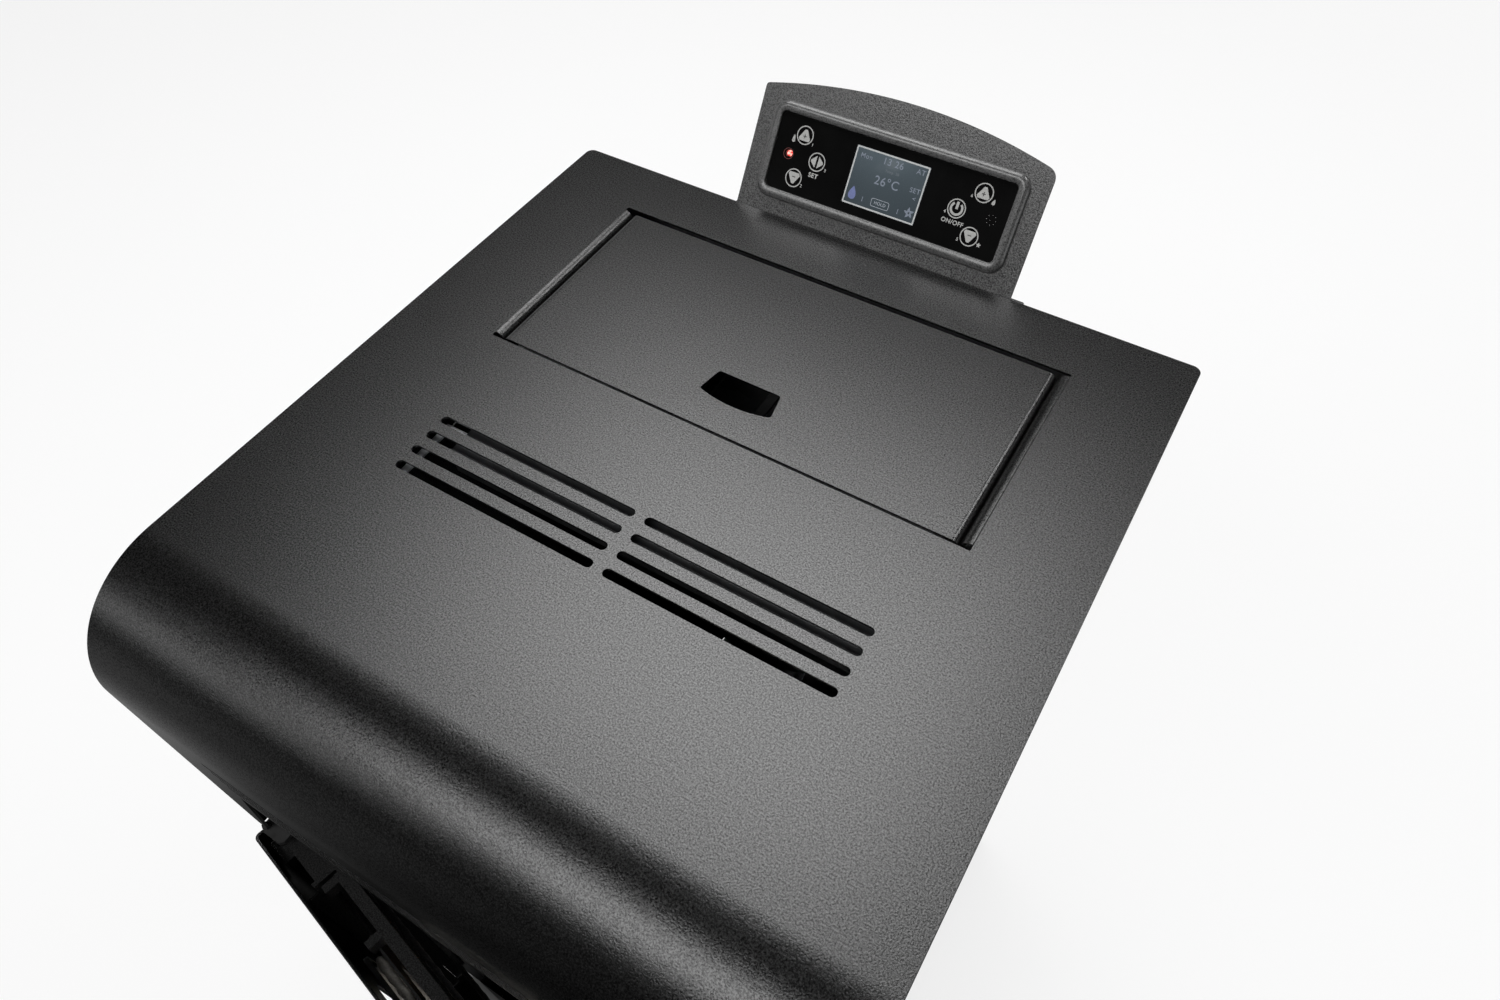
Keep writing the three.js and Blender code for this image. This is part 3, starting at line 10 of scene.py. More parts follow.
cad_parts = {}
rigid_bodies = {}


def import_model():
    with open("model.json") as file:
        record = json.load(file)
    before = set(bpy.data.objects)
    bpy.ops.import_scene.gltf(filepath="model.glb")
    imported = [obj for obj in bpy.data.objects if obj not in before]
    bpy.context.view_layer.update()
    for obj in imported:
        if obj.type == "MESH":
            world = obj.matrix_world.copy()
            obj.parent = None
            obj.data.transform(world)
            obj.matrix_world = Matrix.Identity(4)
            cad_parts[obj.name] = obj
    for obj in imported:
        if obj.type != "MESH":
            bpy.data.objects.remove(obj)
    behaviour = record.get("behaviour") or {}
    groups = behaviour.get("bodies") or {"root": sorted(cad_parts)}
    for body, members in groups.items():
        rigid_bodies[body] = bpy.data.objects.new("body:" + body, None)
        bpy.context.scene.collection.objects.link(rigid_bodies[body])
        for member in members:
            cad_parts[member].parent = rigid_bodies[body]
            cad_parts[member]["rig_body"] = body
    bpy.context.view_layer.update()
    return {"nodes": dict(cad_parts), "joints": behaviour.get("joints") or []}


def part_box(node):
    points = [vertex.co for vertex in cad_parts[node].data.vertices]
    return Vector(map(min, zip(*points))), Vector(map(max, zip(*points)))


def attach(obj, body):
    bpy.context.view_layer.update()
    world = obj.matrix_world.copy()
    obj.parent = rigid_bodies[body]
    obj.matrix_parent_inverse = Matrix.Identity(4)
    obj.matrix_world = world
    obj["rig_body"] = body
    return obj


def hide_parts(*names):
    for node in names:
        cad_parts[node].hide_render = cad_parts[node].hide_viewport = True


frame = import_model()


def joint_place(name):
    """Where the joint of that name has its pivot."""
    return next(joint for joint in frame["joints"] if joint["name"] == name)["pos_m"]


# ---- sizes: places from the frame, the rest as the solids have it

MM = 0.001
HOOD_LOW, HOOD_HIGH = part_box("hood")
HALF = HOOD_HIGH.x
REAR = HOOD_HIGH.y
FRONT = HOOD_LOW.y
TOP = HOOD_HIGH.z
SHEET = 2 * MM

ROLL = 80 * MM
ROLL_STEPS = 40
CHEEK_DROP = 126 * MM
FACE_DROP = 178 * MM
LEG_WIDTH = 60 * MM
LEG_TIP = 9 * MM
PLAN_CORNER = 6 * MM
FLANGE = 20 * MM
OPENING = {"half": 178 * MM, "rear": 47.6 * MM, "front": 209.3 * MM, "notch": 3.6 * MM}
LIP = {"radius": 6.2 * MM, "depth": 15 * MM, "sheet": 1.5 * MM}
TOP_VENT = {
    "width": 6.2 * MM, "pitch": 14 * MM, "rows": 4,
    "first": 285.7 * MM, "inner": 3.9 * MM, "outer": 155.6 * MM,
}
FACE_VENT = {
    "width": 6.2 * MM, "pitch": 13 * MM, "rows": 4,
    "first": 121 * MM, "inner": 3.9 * MM, "outer": 191 * MM,
}

LID_LOW, LID_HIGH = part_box("hopper_lid")
LID_ROLL = 5 * MM
LID_SHEET = 1.5 * MM
LID_PIVOT = joint_place("lid_hinge")
KNUCKLE = {"aside": 118 * MM, "half": 15 * MM, "radius": 3.6 * MM, "bore": 2.4 * MM}
# The finger hole, in millimetres aside of the middle and in front of the cabinet's rear edge.
FINGER = {"rear": 159.8, "front": 179.3, "bulge": 183, "rear_half": 23.4, "front_half": 26.8, "corner": 2}

PANEL_TILT = math.radians(32.5)
PANEL_X = 3 * MM
TAB = {"left": 113.7 * MM, "right": 122 * MM, "drop": 60 * MM}
# The panel's parts, in millimetres on its own leaning face.
PANEL = {"half": 112.3, "shoulder": 88, "crown": 102.5, "left_corner": 2.2, "right_corner": 7}
BEZEL = {"half": 99.3, "low": 11.6, "high": 81.2, "radius": 11}
GLASS = {"half": 91.9, "low": 18.7, "high": 73.7, "radius": 3}
DISPLAY = {"half": 28.6, "low": 25.8, "high": 66.4, "rim": 1.1}
LENS = (-79, 46)
PANEL_FRAME = Matrix.Translation((PANEL_X, REAR, TOP)) @ Matrix.Rotation(-PANEL_TILT, 4, "X")

DOOR_TURN = math.radians(12.4)
DOOR_PIVOT = Vector((*joint_place("door_hinge")[:2], 0))
PIVOT_IN_DOOR = {"u": 12 * MM, "w": 14 * MM}
DOOR_FRAME_OF = Matrix.Translation(DOOR_PIVOT) @ Matrix.Rotation(-DOOR_TURN, 4, "Z")
DOOR_WIDTH = 490.6 * MM
HANDLE = {"u": 450 * MM, "z": 380 * MM}


def back(distance):
    """The y of a place that lies this far in front of the cabinet's rear edge."""
    return REAR - distance


# ---- outlines


def arc(cx, cy, radius, start, end, steps):
    """Points of an arc, angles in degrees, both ends included."""
    points = []
    for i in range(steps + 1):
        angle = math.radians(start + (end - start) * i / steps)
        points.append((cx + radius * math.cos(angle), cy + radius * math.sin(angle)))
    return points


def circle(cx, cy, radius, steps):
    """Points of a circle, each one once."""
    return arc(cx, cy, radius, 0, 360, steps)[:-1]


def rounded_rect(x0, x1, y0, y1, radius, steps=8):
    return (
        arc(x1 - radius, y0 + radius, radius, -90, 0, steps)
        + arc(x1 - radius, y1 - radius, radius, 0, 90, steps)
        + arc(x0 + radius, y1 - radius, radius, 90, 180, steps)
        + arc(x0 + radius, y0 + radius, radius, 180, 270, steps)
    )


def slot(x0, x1, middle, width):
    """A slot with round ends that lies along the first axis."""
    radius = width / 2
    return arc(x1 - radius, middle, radius, -90, 90, 12) + arc(x0 + radius, middle, radius, 90, 270, 12)


def curve(start, control, end, steps):
    """Points of a quadratic curve, without its first."""
    points = []
    for i in range(1, steps + 1):
        t = i / steps
        points.append(tuple(
            (1 - t) ** 2 * a + 2 * t * (1 - t) * b + t ** 2 * c for a, b, c in zip(start, control, end)
        ))
    return points


def scaled(points):
    """Points given in millimetres, in metres."""
    return [(x * MM, y * MM) for x, y in points]


# ---- meshes


def add_object(name, data):
    made = bpy.data.objects.new(name, data)
    bpy.context.scene.collection.objects.link(made)
    return made


def new_object(name, bm):
    """An object of the mesh, with its faces turned outwards and smooth."""
    bmesh.ops.recalc_face_normals(bm, faces=bm.faces)
    mesh = bpy.data.meshes.new(name)
    bm.to_mesh(mesh)
    bm.free()
    mesh.polygons.foreach_set("use_smooth", [True] * len(mesh.polygons))
    return add_object(name, mesh)


def place_piece(piece, material, body, replaces=()):
    """Gives a piece its material and body, and hides the CAD nodes that it stands for."""
    piece.data.materials.clear()
    piece.data.materials.append(material)
    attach(piece, body)
    if replaces:
        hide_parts(*replaces)


def thicken(piece, thickness):
    """Makes a surface a sheet; the surface is its outer face."""
    solidify = piece.modifiers.new("sheet", "SOLIDIFY")
    solidify.thickness = thickness
    solidify.offset = -1
    solidify.use_even_offset = True


def ease_edges(piece, width, segments=3, angle=35):
    """Rounds the sharp edges and keeps flat faces flat in the shading."""
    bevel = piece.modifiers.new("edges", "BEVEL")
    bevel.width = width
    bevel.segments = segments
    bevel.limit_method = "ANGLE"
    bevel.angle_limit = math.radians(angle)
    bevel.use_clamp_overlap = True
    normals = piece.modifiers.new("normals", "WEIGHTED_NORMAL")
    normals.keep_sharp = True


def fill(bm, outer, holes, place):
    """Fills an outline with holes; place turns a flat point into a point in space."""
    edges = []
    for loop in [outer, *holes]:
        verts = [bm.verts.new((x, y, 0)) for x, y in loop]
        edges += [bm.edges.new((a, b)) for a, b in zip(verts, verts[1:] + verts[:1])]
    made = bmesh.ops.triangle_fill(bm, edges=edges, use_beauty=True, use_dissolve=False)
    verts = {v for edge in edges for v in edge.verts}
    verts |= {item for item in made["geom"] if isinstance(item, bmesh.types.BMVert)}
    for vert in verts:
        vert.co = Vector(place(vert.co.x, vert.co.y))


def strip(bm, rows):
    """Joins rows of points by quads."""
    made = [[bm.verts.new(point) for point in row] for row in rows]
    for low, high in zip(made, made[1:]):
        for i in range(len(low) - 1):
            bm.faces.new((low[i], low[i + 1], high[i + 1], high[i]))


def join_rings(bm, low, high):
    """Joins two closed rings of vertices by quads."""
    count = len(low)
    for i in range(count):
        j = (i + 1) % count
        bm.faces.new((low[i], low[j], high[j], high[i]))


def ring_loft(bm, rings, closed=True):
    """Joins closed rings of points; the last ring meets the first, or else both ends are capped."""
    made = [[bm.verts.new(point) for point in ring] for ring in rings]
    for low, high in zip(made, made[1:] + made[:1] if closed else made[1:]):
        join_rings(bm, low, high)
    if not closed:
        bm.faces.new(made[0][::-1])
        bm.faces.new(made[-1])


def weld(bm):
    """Joins vertices that lie in one place."""
    bmesh.ops.remove_doubles(bm, verts=bm.verts, dist=2e-6)


def prism(bm, outline, place_low, place_high):
    """A closed block between two copies of an outline."""
    low = [bm.verts.new(place_low(x, y)) for x, y in outline]
    high = [bm.verts.new(place_high(x, y)) for x, y in outline]
    join_rings(bm, low, high)
    bm.faces.new(low)
    bm.faces.new(high[::-1])


def tube(bm, start, end, radius, bore, sides):
    """A round tube between two points."""
    axis = (end - start).normalized()
    side = axis.orthogonal().normalized()
    other = axis.cross(side)
    rings = []
    for centre, size in ((start, radius), (end, radius), (end, bore), (start, bore)):
        rings.append([centre + a * side + b * other for a, b in circle(0, 0, size, sides)])
    ring_loft(bm, rings)


def eased(node, material, width, widen=0.0):
    """Stands for a sheet or machined CAD node with the same shape and broken edges.

    With widen, its left and right ends reach that much further out.
    """
    source = frame["nodes"][node]
    bm = bmesh.new()
    bm.from_mesh(source.data)
    reach = max(v.co.x for v in bm.verts)
    for v in bm.verts:
        if abs(v.co.x) > reach - 0.1 * MM:
            v.co.x += math.copysign(widen, v.co.x)
    weld(bm)
    bmesh.ops.dissolve_limit(
        bm, angle_limit=math.radians(0.5), verts=bm.verts, edges=bm.edges, delimit={"NORMAL"},
    )
    piece = new_object(node + "_eased", bm)
    ease_edges(piece, width, 2)
    place_piece(piece, material, source["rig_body"], [node])


# ---- materials


class Tree:
    """A node tree with short calls for making its nodes."""

    def __init__(self, tree):
        self.tree = tree
        tree.nodes.clear()

    def feed(self, target, value):
        """Gives an input a value, or links another node's output to it."""
        if isinstance(value, bpy.types.NodeSocket):
            self.tree.links.new(value, target)
        else:
            target.default_value = value

    def node(self, kind, **inputs):
        made = self.tree.nodes.new("ShaderNode" + kind)
        for name, value in inputs.items():
            self.feed(made.inputs[name.replace("_", " ")], value)
        return made

    def math(self, operation, first, second=0.0):
        made = self.node("Math")
        made.operation = operation
        self.feed(made.inputs[0], first)
        self.feed(made.inputs[1], second)
        return made.outputs[0]

    def between(self, value, start, end, low=0.0, high=1.0):
        """Goes from low to high while the value goes from start to end."""
        made = self.node("MapRange", Value=value, From_Min=start, From_Max=end, To_Min=low, To_Max=high)
        return made.outputs[0]


class Nodes(Tree):
    """A material's tree: one main shader, and the patterns that drive its inputs."""

    def __init__(self, name):
        self.material = bpy.data.materials.new(name)
        self.material.use_nodes = True
        super().__init__(self.material.node_tree)
        self.shader = self.node("BsdfPrincipled")
        self.node("OutputMaterial", Surface=self.shader.outputs[0])
        self.place = self.node("TexCoord").outputs["Object"]

    def set(self, **values):
        """Gives the shader's inputs their values or patterns."""
        for name, value in values.items():
            self.feed(self.shader.inputs[name.replace("_", " ")], value)

    def stretched(self, x, y, z):
        return self.node("Mapping", Scale=(x, y, z), Vector=self.place).outputs[0]

    def noise(self, scale, detail=2.0, rough=0.5, vector=None):
        vector = vector or self.place
        made = self.node("TexNoise", Scale=scale, Detail=detail, Roughness=rough, Vector=vector)
        return made.outputs["Fac"]

    def cells(self, scale, feature="F1", output="Distance"):
        """Small cells: how far a point is from their middles or edges, or one Color for each."""
        made = self.node("TexVoronoi", Scale=scale, Vector=self.place)
        made.feature = feature
        return made.outputs[output]

    def ramp(self, value, *stops):
        """Each stop is (place, grey) or (place, (r, g, b))."""
        made = self.node("ValToRGB", Fac=value)
        elements = made.color_ramp.elements
        while len(elements) < len(stops):
            elements.new(0.5)
        for element, (position, shade) in zip(elements, stops):
            element.position = position
            element.color = (*shade, 1) if isinstance(shade, tuple) else (shade, shade, shade, 1)
        return made.outputs[0]

    def profile(self, metres, span, *stops):
        """A ramp over a distance of up to span, with the places of its stops in metres."""
        share = self.math("MULTIPLY", metres, 1 / span)
        return self.ramp(share, *((place / span, shade) for place, shade in stops))

    def mix(self, factor, first, second):
        """Goes from the first colour to the second, which is a plain (r, g, b)."""
        made = self.node("Mix")
        made.data_type = "RGBA"
        for target, value in ((0, factor), (6, first), (7, (*second, 1))):
            self.feed(made.inputs[target], value)
        return made.outputs[2]

    def bump(self, *layers):
        """Each layer is (height value, strength, depth in metres)."""
        normal = None
        for height, strength, depth in layers:
            made = self.node("Bump", Strength=strength, Distance=depth, Height=height)
            if normal:
                self.feed(made.inputs["Normal"], normal)
            normal = made.outputs[0]
        self.set(Normal=normal, Coat_Normal=normal)


def powder_coat(name, shade=0.0028, rough=0.28, grain=1.0):
    """Fine-textured black powder coat: sandy speckle, small dents in a clear film."""
    m = Nodes(name)
    sand = m.noise(1000, 2.0, 0.7)
    speckle = m.ramp(sand, (0.36, shade * 0.2), (0.56, shade * 1.2), (0.72, shade + 0.012 * grain))
    cloud = m.ramp(m.noise(9, 3.0), (0.35, 0.0), (0.7, 0.18))
    m.set(
        Base_Color=m.mix(cloud, speckle, (shade * 1.5,) * 3),
        Roughness=m.ramp(sand, (0.3, rough + 0.02), (0.7, rough)),
        Specular_IOR_Level=m.ramp(sand, (0.38, 0.25 - 0.2 * grain), (0.62, 0.25 + 0.3 * grain)),
        Coat_Weight=0.55,
        Coat_Roughness=0.17,
    )
    m.bump((sand, 0.8 * grain, 0.18 * MM), (m.noise(420), 0.12 * grain, 0.1 * MM))
    return m.material


def stove_paint():
    m = Nodes("heat_paint")
    m.set(
        Base_Color=m.ramp(m.noise(60, 4.0), (0.3, 0.018), (0.75, 0.038)),
        Roughness=m.ramp(m.noise(300), (0.3, 0.62), (0.7, 0.48)),
    )
    m.bump((m.noise(1100), 0.3, 0.1 * MM))
    return m.material


def galvanised(name="galvanised_sheet", share=1.0):
    """Zinc with its spangle; share scales its colour: a darker copy paints shade, a brighter one paints a
    highlight.
    """
    m = Nodes(name)
    tones = [(0.1, (0.33, 0.34, 0.35)), (0.5, (0.46, 0.47, 0.48)), (0.9, (0.38, 0.39, 0.41))]
    tones = [(place, tuple(share * v for v in tone)) for place, tone in tones]
    m.set(
        Metallic=0.6,
        Base_Color=m.ramp(m.cells(70, output="Color"), *tones),
        Roughness=m.ramp(m.noise(35, 3.0), (0.3, 0.5), (0.7, 0.34)),
    )
    m.bump((m.noise(500), 0.15, 0.05 * MM))
    return m.material


def turned_steel():
    m = Nodes("turned_steel")
    lines = m.noise(8, 3.0, 0.6, m.stretched(30, 30, 900))
    m.set(
        Metallic=1.0,
        Base_Color=m.ramp(lines, (0.3, (0.42, 0.42, 0.41)), (0.7, (0.56, 0.56, 0.55))),
        Roughness=m.ramp(lines, (0.3, 0.36), (0.7, 0.24)),
    )
    m.bump((lines, 0.12, 0.04 * MM))
    return m.material


def cast_iron():
    m = Nodes("cast_iron")
    grain = m.noise(420, 4.0, 0.65)
    rust = m.ramp(m.noise(38, 4.0), (0.55, 0.0), (0.75, 0.5))
    m.set(
        Metallic=0.6,
        Base_Color=m.mix(rust, m.ramp(grain, (0.3, 0.025), (0.7, 0.075)), (0.09, 0.045, 0.025)),
        Roughness=m.ramp(grain, (0.3, 0.85), (0.7, 0.6)),
    )
    m.bump((grain, 0.5, 0.35 * MM))
    return m.material


def cast_aluminium():
    m = Nodes("cast_aluminium")
    grain = m.noise(700, 3.0)
    m.set(
        Metallic=1.0,
        Base_Color=m.ramp(grain, (0.3, (0.5, 0.51, 0.52)), (0.7, (0.64, 0.65, 0.66))),
        Roughness=m.ramp(m.noise(90), (0.3, 0.52), (0.7, 0.4)),
    )
    m.bump((grain, 0.3, 0.12 * MM))
    return m.material


def motor_paint():
    m = Nodes("motor_paint")
    peel = m.noise(520)
    m.set(
        Base_Color=m.ramp(m.noise(40, 3.0), (0.3, (0.12, 0.125, 0.13)), (0.7, (0.16, 0.165, 0.17))),
        Roughness=m.ramp(peel, (0.3, 0.42), (0.7, 0.34)),
    )
    m.bump((peel, 0.15, 0.08 * MM))
    return m.material


def fire_board():
    """Pressed vermiculite: pale brown flakes with soot."""
    m = Nodes("vermiculite_board")
    flakes = m.cells(260)
    base = m.ramp(flakes, (0.0, (0.62, 0.47, 0.27)), (0.45, (0.45, 0.33, 0.19)), (0.9, (0.3, 0.22, 0.13)))
    soot = m.ramp(m.noise(14, 4.0), (0.45, 0.0), (0.8, 0.7))
    m.set(
        Base_Color=m.mix(soot, base, (0.06, 0.05, 0.045)),
        Roughness=m.ramp(flakes, (0.1, 0.95), (0.8, 0.8)),
    )
    m.bump((flakes, 0.6, 0.5 * MM))
    return m.material


def rope_fibre():
    """Woven glass fibre, off-white with grey soiling."""
    m = Nodes("glass_fibre_rope")
    strands = m.noise(900, 3.0)
    base = m.ramp(strands, (0.3, (0.34, 0.32, 0.29)), (0.7, (0.6, 0.58, 0.53)))
    soil = m.ramp(m.noise(45, 3.0), (0.4, 0.0), (0.75, 0.6))
    m.set(
        Sheen_Weight=0.3,
        Base_Color=m.mix(soil, base, (0.14, 0.13, 0.12)),
        Roughness=m.ramp(strands, (0.3, 0.98), (0.7, 0.85)),
    )
    m.bump((strands, 0.7, 0.3 * MM))
    return m.material


def dark_fibre():
    m = Nodes("dark_fibre_strip")
    strands = m.noise(1100, 3.0)
    m.set(
        Sheen_Weight=0.2,
        Base_Color=m.ramp(strands, (0.3, 0.02), (0.7, 0.06)),
        Roughness=m.ramp(strands, (0.3, 0.98), (0.7, 0.85)),
    )
    m.bump((strands, 0.6, 0.3 * MM))
    return m.material


def circuit_board():
    m = Nodes("circuit_board")
    tracks = m.cells(180, "DISTANCE_TO_EDGE")
    m.set(
        Base_Color=m.ramp(tracks, (0.02, (0.045, 0.16, 0.07)), (0.06, (0.015, 0.07, 0.03))),
        Roughness=m.ramp(m.noise(200), (0.3, 0.3), (0.7, 0.42)),
    )
    m.bump((tracks, 0.2, 0.1 * MM))
    return m.material


def moulded_plastic():
    m = Nodes("moulded_plastic")
    grain = m.noise(1300)
    m.set(
        Base_Color=m.ramp(m.noise(50), (0.3, 0.01), (0.7, 0.018)),
        Roughness=m.ramp(grain, (0.3, 0.44), (0.7, 0.34)),
    )
    m.bump((grain, 0.2, 0.06 * MM))
    return m.material


def black_glass():
    """Glass printed black from behind, with faint finger marks."""
    m = Nodes("black_panel_glass")
    smear = m.noise(28, 4.0, 0.6)
    m.set(
        Specular_IOR_Level=0.3,
        Base_Color=m.ramp(smear, (0.3, 0.003), (0.8, 0.005)),
        Roughness=m.ramp(smear, (0.35, 0.03), (0.75, 0.07)),
    )
    m.bump((m.noise(6, 1.0), 0.02, 0.5 * MM))
    return m.material


def clear_glass():
    m = Nodes("ceramic_window_glass")
    haze = m.noise(18, 4.0)
    m.set(
        Transmission_Weight=1.0,
        IOR=1.5,
        Base_Color=m.ramp(haze, (0.3, (0.93, 0.9, 0.84)), (0.8, (0.84, 0.8, 0.73))),
        Roughness=m.ramp(haze, (0.4, 0.03), (0.8, 0.12)),
    )
    m.bump((m.noise(9, 1.0), 0.03, 0.3 * MM))
    return m.material


def lit_display():
    """The lit screen: uneven blue-grey, hardly shiny."""
    m = Nodes("lit_display")
    dots = m.cells(1800)
    base = m.ramp(m.noise(7, 1.0), (0.25, (0.036, 0.047, 0.055)), (0.75, (0.062, 0.078, 0.089)))
    m.set(
        Emission_Strength=0.6,
        Specular_IOR_Level=0.1,
        Base_Color=base,
        Emission_Color=base,
        Roughness=m.ramp(dots, (0.1, 0.22), (0.9, 0.3)),
    )
    m.bump((dots, 0.05, 0.03 * MM))
    return m.material


def print_ink(name, colour, strength=0.0):
    """Printed or lit marks: slightly uneven ink."""
    m = Nodes(name)
    uneven = m.noise(1400)
    thin = tuple(c * 0.85 for c in colour)
    thick = tuple(min(1.0, c * 1.12) for c in colour)
    base = m.ramp(uneven, (0.3, thin), (0.7, thick))
    m.set(
        Emission_Strength=strength,
        Base_Color=base,
        Emission_Color=base,
        Roughness=m.ramp(uneven, (0.3, 0.5), (0.7, 0.4)),
    )
    m.bump((uneven, 0.1, 0.02 * MM))
    return m.material


def red_lens():
    m = Nodes("red_lens")
    glow = m.noise(500)
    base = m.ramp(glow, (0.4, (0.6, 0.02, 0.015)), (0.6, (1.0, 0.3, 0.25)))
    m.set(
        Emission_Strength=2.2,
        Base_Color=base,
        Emission_Color=base,
        Roughness=m.ramp(glow, (0.3, 0.2), (0.7, 0.3)),
    )
    m.bump((glow, 0.1, 0.05 * MM))
    return m.material


COAT = powder_coat("powder_coat")
# Lighter copies of the black coat for the leaning panel and its raised frame: painted light where the
# panel faces the light.
PANEL_COAT_LIT = powder_coat("powder_coat_panel_lit", 0.035, 0.4)
RIM_COAT_LIT = powder_coat("powder_coat_rim_lit", 0.085, 0.28, 0.2)
DARK_COAT = powder_coat("powder_coat_dull", 0.006, 0.6, 0.7)
PAINT = stove_paint()
ZINC = galvanised()
# A darker copy of the zinc: painted shade on the heat shield under the hood.
SHADED_ZINC = galvanised("galvanised_painted_shade", 0.25)
# A brighter copy of the zinc: a painted highlight on the end of the shield's strap.
GLINT_ZINC = galvanised("galvanised_painted_highlight", 1.9)
STEEL = turned_steel()
IRON = cast_iron()
ALUMINIUM = cast_aluminium()
MOTOR = motor_paint()
BOARD_BROWN = fire_board()
ROPE = rope_fibre()
DARK_ROPE = dark_fibre()
CIRCUIT = circuit_board()
PLASTIC = moulded_plastic()
BLACK_GLASS = black_glass()
CLEAR_GLASS = clear_glass()
SCREEN = lit_display()
SILVER_INK = print_ink("silver_ink", (0.34, 0.34, 0.33), 0.15)
BLACK_INK = print_ink("black_ink", (0.012, 0.012, 0.012))
SCREEN_RIM = print_ink("screen_rim", (0.42, 0.43, 0.43), 0.2)
SCREEN_TEXT = print_ink("screen_text", (0.11, 0.13, 0.165), 0.5)
SCREEN_KEY = print_ink("screen_key", (0.2, 0.22, 0.25), 0.5)
SCREEN_DIM = print_ink("screen_dim", (0.075, 0.09, 0.105), 0.5)
SCREEN_BLUE = print_ink("screen_blue", (0.08, 0.1, 0.22), 0.5)
LENS_INK = print_ink("lens_ring", (0.09, 0.012, 0.01), 0.4)
RED = red_lens()

# ---- hood


def vent_slots(vent):
    """Rows of slots in pairs, left and right of the middle."""
    slots = []
    for row in range(vent["rows"]):
        middle = vent["first"] + row * vent["pitch"]
        slots.append(slot(-vent["outer"], -vent["inner"], middle, vent["width"]))
        slots.append(slot(vent["inner"], vent["outer"], middle, vent["width"]))
    return slots


def rear_corners():
    """The two rounded corners at the rear, seen from above."""
    corner = PLAN_CORNER
    right = arc(HALF - corner, back(corner), corner, 0, 90, 8)
    return right + arc(-HALF + corner, back(corner), corner, 90, 180, 8)


def hood_top(bm):
    outer = [(-HALF, FRONT + ROLL), (HALF, FRONT + ROLL), *rear_corners()]
    half, rear, front = OPENING["half"], back(OPENING["rear"]), back(OPENING["front"])
    opening = [(-half, front), (half, front), (half, rear), (-half, rear)]
    vents = [[(x, back(y)) for x, y in loop] for loop in vent_slots(TOP_VENT)]
    fill(bm, outer, [opening, *vents], lambda x, y: (x, y, TOP))


def roll_points():
    """The front roll from the side, from the top down to the face."""
    return arc(FRONT + ROLL, TOP - ROLL, ROLL, 90, 180, ROLL_STEPS)


def hood_face(bm):
    """The upright face with its slots, and the two legs that run down beside the door."""
    low, edge, cheek = HOOD_LOW.z, TOP - FACE_DROP, TOP - CHEEK_DROP
    outer = [
        (-HALF, TOP - ROLL), (-HALF, cheek), (-HALF, low), (-HALF + LEG_TIP, low),
        (-HALF + LEG_WIDTH, edge), (HALF - LEG_WIDTH, edge),
        (HALF - LEG_TIP, low), (HALF, low), (HALF, cheek), (HALF, TOP - ROLL),
    ]
    vents = [[(x, TOP - z) for x, z in loop] for loop in vent_slots(FACE_VENT)]
    fill(bm, outer, vents, lambda x, z: (x, FRONT, z))


def hood_cheek(bm, side):
    x = side * HALF
    points = [(back(PLAN_CORNER), TOP), *roll_points(), (FRONT, TOP - CHEEK_DROP)]
    points.append((back(PLAN_CORNER), TOP - CHEEK_DROP))
    bm.faces.new([bm.verts.new((x, y, z)) for y, z in points])


def hood_rear(bm):
    """The flange that hangs from the rear edge."""
    strip(bm, [[(x, y, z) for x, y in rear_corners()] for z in (TOP, TOP - FLANGE)])


def hood():
    bm = bmesh.new()
    hood_top(bm)
    strip(bm, [[(-HALF, y, z), (HALF, y, z)] for y, z in roll_points()])
    hood_face(bm)
    hood_cheek(bm, -1)
    hood_cheek(bm, 1)
    hood_rear(bm)
    weld(bm)
    piece = new_object("hood_shell", bm)
    thicken(piece, SHEET)
    ease_edges(piece, 0.8 * MM)
    place_piece(piece, COAT, "cabinet", ["hood"])


def opening_lip(side):
    """The rolled edge at one side of the lid opening."""
    radius = LIP["radius"]
    start = OPENING["half"]
    section = arc(start, TOP - radius, radius, 90, 180, 12) + [(start - radius, TOP - LIP["depth"])]
    ends = (back(OPENING["rear"] + OPENING["notch"]), back(OPENING["front"] - OPENING["notch"]))
    bm = bmesh.new()
    strip(bm, [[(side * x, y, z) for y in ends] for x, z in section])
    name = "opening_lip_left" if side < 0 else "opening_lip_right"
    piece = new_object(name, bm)
    if side > 0:
        piece.data.flip_normals()
    thicken(piece, LIP["sheet"])
    ease_edges(piece, 0.3 * MM, 2)
    place_piece(piece, COAT, "cabinet")


# ---- lid


def finger_hole():
    """Narrow at the rear, with rounded corners and a front edge that bows out."""
    f = FINGER
    rear, front, narrow, wide = f["rear"], f["front"], f["rear_half"], f["front_half"]
    corner, lean, bow = f["corner"], 0.3, 0.4
    start = (-narrow + corner, rear)
    points = [start, (narrow - corner, rear)]
    points += curve(points[-1], (narrow, rear), (narrow + lean, rear + corner), 5)
    points.append((wide - lean, front - corner))
    points += curve(points[-1], (wide, front), (wide - corner, front + bow), 5)
    points += curve(points[-1], (0, 2 * f["bulge"] - front), (-wide + corner, front + bow), 20)
    points += curve(points[-1], (-wide, front), (-wide + lean, front - corner), 5)
    points.append((-narrow - lean, rear + corner))
    points += curve(points[-1], (-narrow, rear), start, 5)[:-1]
    return [(x * MM, back(y * MM)) for x, y in points]


def hopper_lid():
    half, rear, front = LID_HIGH.x, LID_HIGH.y, LID_LOW.y
    flat = half - LID_ROLL
    bm = bmesh.new()
    outer = [(-flat, front), (flat, front), (flat, rear), (-flat, rear)]
    fill(bm, outer, [finger_hole()], lambda x, y: (x, y, TOP))
    for side in (-1, 1):
        section = arc(flat, TOP - LID_ROLL, LID_ROLL, 90, 0, 10) + [(half, LID_LOW.z)]
        strip(bm, [[(side * x, front, z), (side * x, rear, z)] for x, z in section])
    weld(bm)
    piece = new_object("lid_sheet", bm)
    thicken(piece, LID_SHEET)
    ease_edges(piece, 0.3 * MM, 2)
    place_piece(piece, COAT, "lid", ["hopper_lid"])


